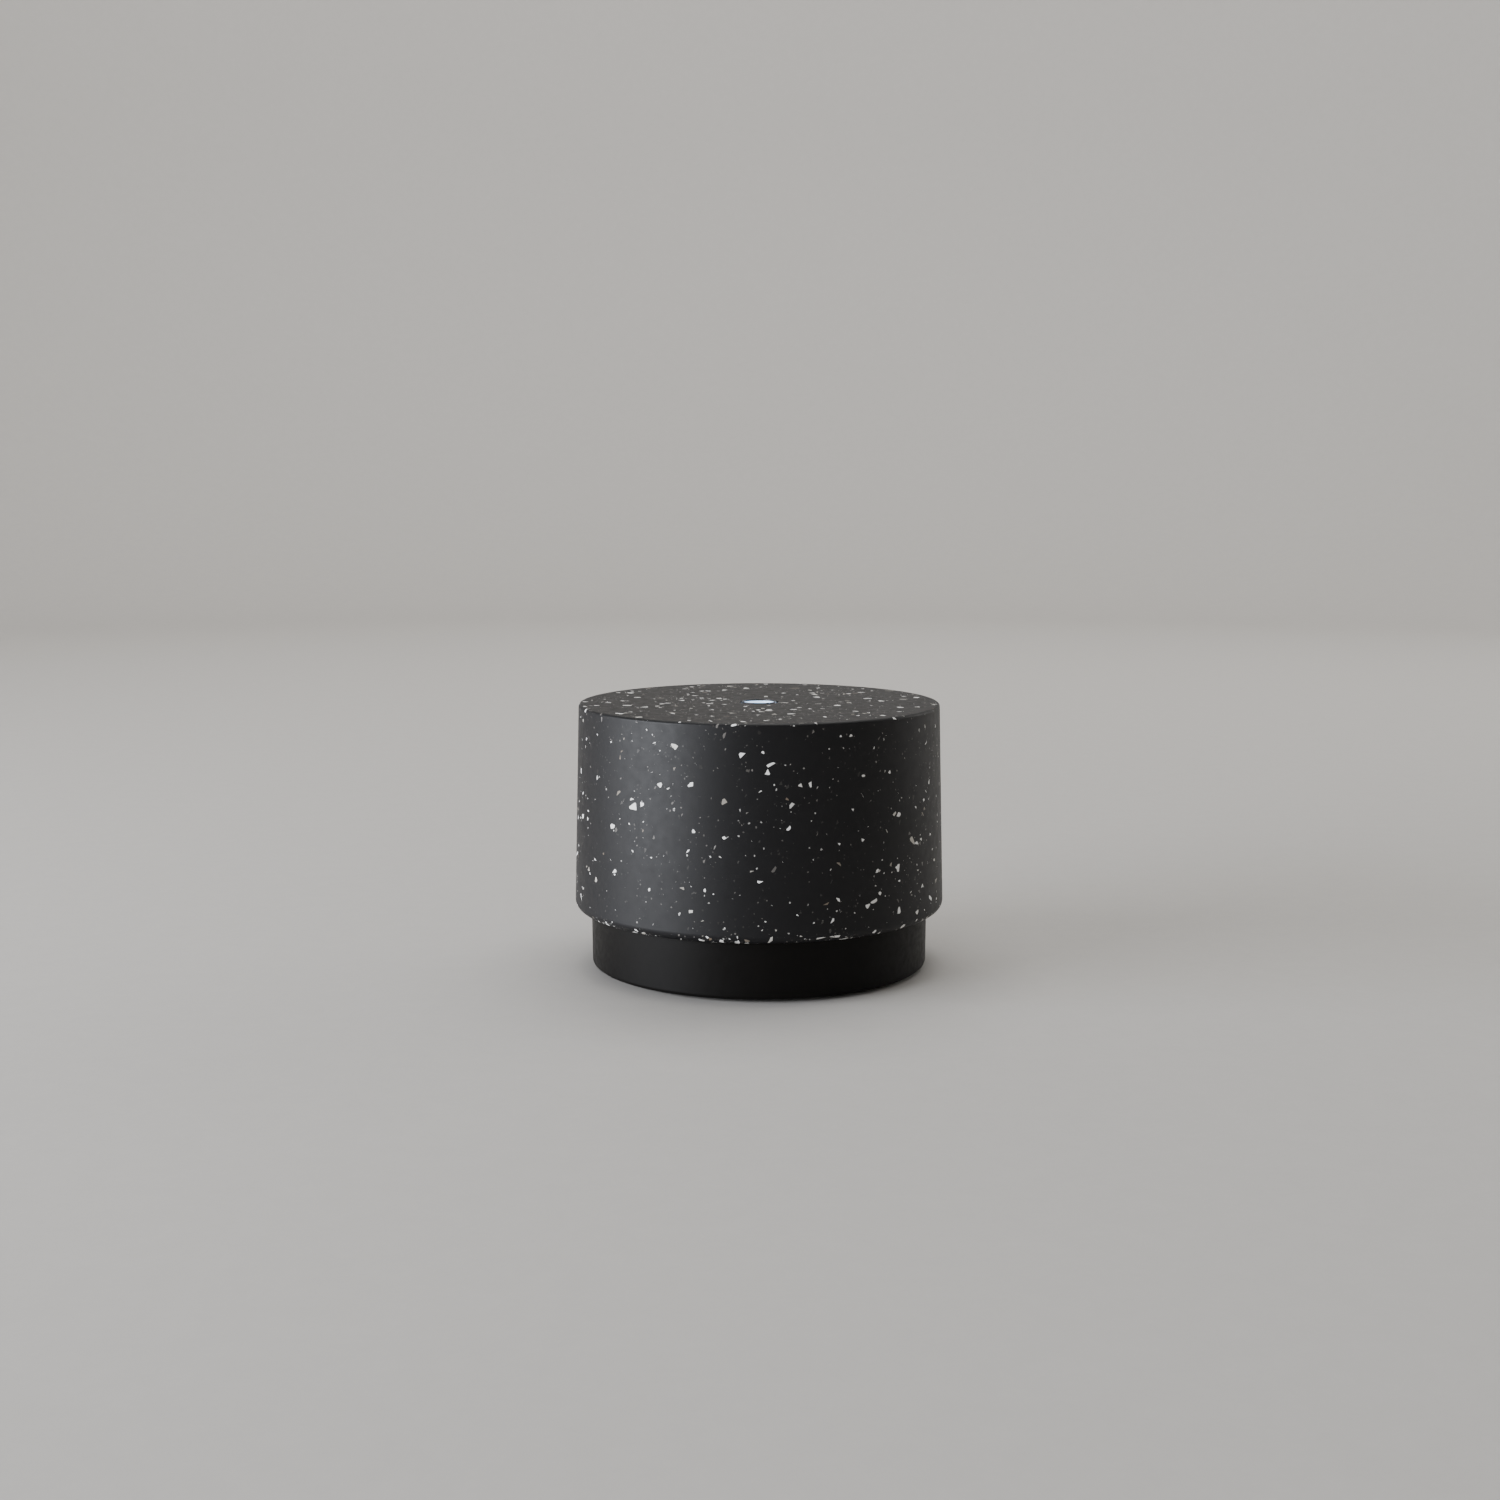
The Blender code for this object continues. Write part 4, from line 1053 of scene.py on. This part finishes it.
def make_inductor(mats):
    """The coil: a ferrite drum, wound with copper between its rims."""
    low = lows("inductor").z
    centre = middle("inductor")
    drum = rounded([
        (0, low), (4.8, low, 0.2), (4.8, low + 1.2, 0.2), (3.9, low + 1.5), (3.9, low + 6.5),
        (4.8, low + 6.8, 0.2), (4.8, low + 8.0, 0.3), (1.2, low + 8.0, 0.1, 2),
        (0.9, low + 7.7, 0.1, 2), (0, low + 7.7),
    ])
    core = turned("coil_drum", drum, mats["ferrite"], 48, over("inductor"))
    core.data.materials.append(mats["copper"])
    for face in core.data.polygons:
        reach = math.hypot(face.center.x - centre.x * MM, face.center.y - centre.y * MM) / MM
        if 3.7 < reach < 4.1 and low + 1.6 < face.center.z / MM < low + 6.4:
            face.material_index = 1
    fit(core, "inductor")


def make_capacitor(mats):
    """The can: a sleeve with a crimp near its foot, and a bare top scored with a cross."""
    low, high = heights("capacitor")
    place = over("capacitor")
    can = rounded([
        (0, low), (4.0, low, 0.4), (4.0, low + 1.5, 0.2), (3.7, low + 1.9, 0.2),
        (4.0, low + 2.3, 0.2), (4.0, high, 0.5, 5), (3.1, high, 0.1, 2), (3.0, high - 0.25, 0.1, 2),
        (0, high - 0.25),
    ])
    case = turned("can_case", can, mats["can_sleeve"], 48, place)
    case.data.materials.append(mats["aluminium"])
    for face in case.data.polygons:
        if face.center.z / MM > high - 0.3:
            face.material_index = 1
    score = rounded_rectangle(2.3, 0.12, 0.1, 2)
    turns = (place @ spin(angle) for angle in (45, -45))
    scores = [slab("score", score, high - 0.4, high + PAST, None, turn) for turn in turns]
    fit(carve(case, scores), "capacitor")


def make_heat_sink(mats):
    """A block of aluminium with three gaps that leave four fins."""
    low, high = heights("heat_sink")
    place = over("heat_sink")
    sink = cushion("sink_fins", 4, 5, 0.5, low, high, 0.2, mats["aluminium"], place)
    gap = rounded_rectangle(6.0, 0.8, 0.2, 3)
    gaps = [slab("gap", gap, low + 2, high + 3, None, place @ at(3.2, y)) for y in (-3, 0, 3)]
    fit(carve(sink, gaps, sharp=30), "heat_sink")


def make_lamps(mats):
    """The ring board under the tank, and its four lamps: a white frame round a dome of resin."""
    low, high = heights("led_board")
    ring = washer(18.2, highs("led_board").x, low, high, 0.1)
    fit(turned("lamp_ring", ring, mats["circuit_board"], 128), "led_board")
    for i in range(4):
        node = f"led_{i + 1}"
        centre = middle(node)
        foot, top = heights(node)
        place = over(node) @ spin(math.degrees(math.atan2(centre.y, centre.x)))
        case = cushion(f"lamp_{i + 1}", 2, 2, 0.5, foot, top - 0.3, 0.15, mats["led_white"], place)
        dome = [(0, foot + 0.5), (1.5, foot + 0.5), (1.5, top - 0.4)]
        for step in range(1, 6):
            turn = math.radians(90 * step / 6)
            dome.append((1.5 * math.cos(turn), top - 0.4 + 0.4 * math.sin(turn)))
        dome.append((0, top))
        fit(carve(case, [turned("dome", dome, None, 48, place)], "UNION"), node)


def keep_frame_nodes(mats):
    """Gives every frame node the material of its slot, and each lead a colour of its own."""
    wires = {
        "piezo_wire": sleeve("wire_white", (0.70, 0.70, 0.68)),
        "led_wire": sleeve("wire_yellow", (0.62, 0.40, 0.04)),
        "power_wire": sleeve("wire_black", (0.015, 0.015, 0.015)),
        "switch_wire": sleeve("wire_blue", (0.02, 0.06, 0.30)),
    }
    for part in frame["record"]["subparts"]:
        obj = frame["nodes"][part["node"]]
        obj.data.materials.clear()
        obj.data.materials.append(wires.get(part["node"], mats[part["material_slot"]]))


# ---- stage, light and camera

def make_stage():
    """A pale floor that sweeps up all round into a low pale wall, as in a photographer's cove."""
    look = plain("floor", (0.47, 0.455, 0.435), 0.75, grain=4, depth=0.05, mottle=0.03)
    floor_radius = 1700
    bend = 700
    wall_top = 1700
    profile = [(floor_radius, 0)]
    for step in range(1, 17):
        turn = math.radians(90 * step / 16)
        profile.append((floor_radius + bend * math.sin(turn), bend * (1 - math.cos(turn))))
    profile.append((floor_radius + bend, wall_top))
    bm = bmesh.new()
    previous = [bm.verts.new((0, 0, 0))]
    segments = 96
    for radius, height in profile:
        ring = [bm.verts.new((*on_circle(radius, 360 * k / segments), height)) for k in range(segments)]
        for k in range(segments):
            k2 = (k + 1) % segments
            inner = [previous[0]] if len(previous) == 1 else [previous[k2], previous[k]]
            bm.faces.new([ring[k], ring[k2], *inner])
        previous = ring
    add_object("cove", bm, look.mat, sharp=60)


def area_light(name, place, aim, size, power, colour):
    data = bpy.data.lights.new(name, "AREA")
    data.shape = "RECTANGLE"
    data.size, data.size_y = size
    data.energy = power
    data.color = colour
    obj = link(name, data)
    obj.location = place
    direction = Vector(aim) - Vector(place)
    obj.rotation_euler = direction.to_track_quat("-Z", "Y").to_euler()
    obj.visible_camera = False


def make_lights():
    """A wide soft window at the left, an overhead panel, a wash on the wall, and a weak fill at the right."""
    area_light("window", (-1.25, -0.50, 0.31), (0, 0, 0.31), (1.2, 0.62), 43, (0.91, 0.94, 1.0))
    area_light("overhead", (0.1, 0.3, 1.9), (0, 0, 0), (1.6, 1.6), 30, (1.0, 0.99, 0.97))
    area_light("back_wash", (0, 1.0, 1.6), (0, 2.4, 0.4), (2.2, 0.5), 18, (1.0, 0.98, 0.95))
    area_light("right_fill", (1.5, 0.9, 0.6), (0, 0, 0.1), (0.8, 0.9), 5.5, (1.0, 0.98, 0.95))
    world = bpy.data.worlds.new("studio")
    world.use_nodes = True
    background = world.node_tree.nodes["Background"].inputs
    background["Color"].default_value = (0.62, 0.61, 0.59, 1)
    background["Strength"].default_value = 0.2
    bpy.context.scene.world = world


def make_camera():
    data = bpy.data.cameras.new("camera")
    data.lens = LENS
    data.sensor_width = 36.0
    data.clip_start = 0.01
    obj = link("camera", data)
    obj.location = CAMERA_PLACE
    obj.rotation_euler = (math.radians(90 - CAMERA_PITCH), 0, 0)
    bpy.context.scene.camera = obj


make_camera()
make_stage()
make_lights()
materials = build_materials()
keep_frame_nodes(materials)
for make in (make_cover, make_seat_ring, make_lid, make_gaskets, make_chimney, make_tank, make_mist_maker,
             make_base, make_bottom, make_feet, make_screws, make_jack, make_buttons, make_fan, make_duct,
             make_board, make_chip, make_inductor, make_capacitor, make_heat_sink, make_lamps):
    make(materials)
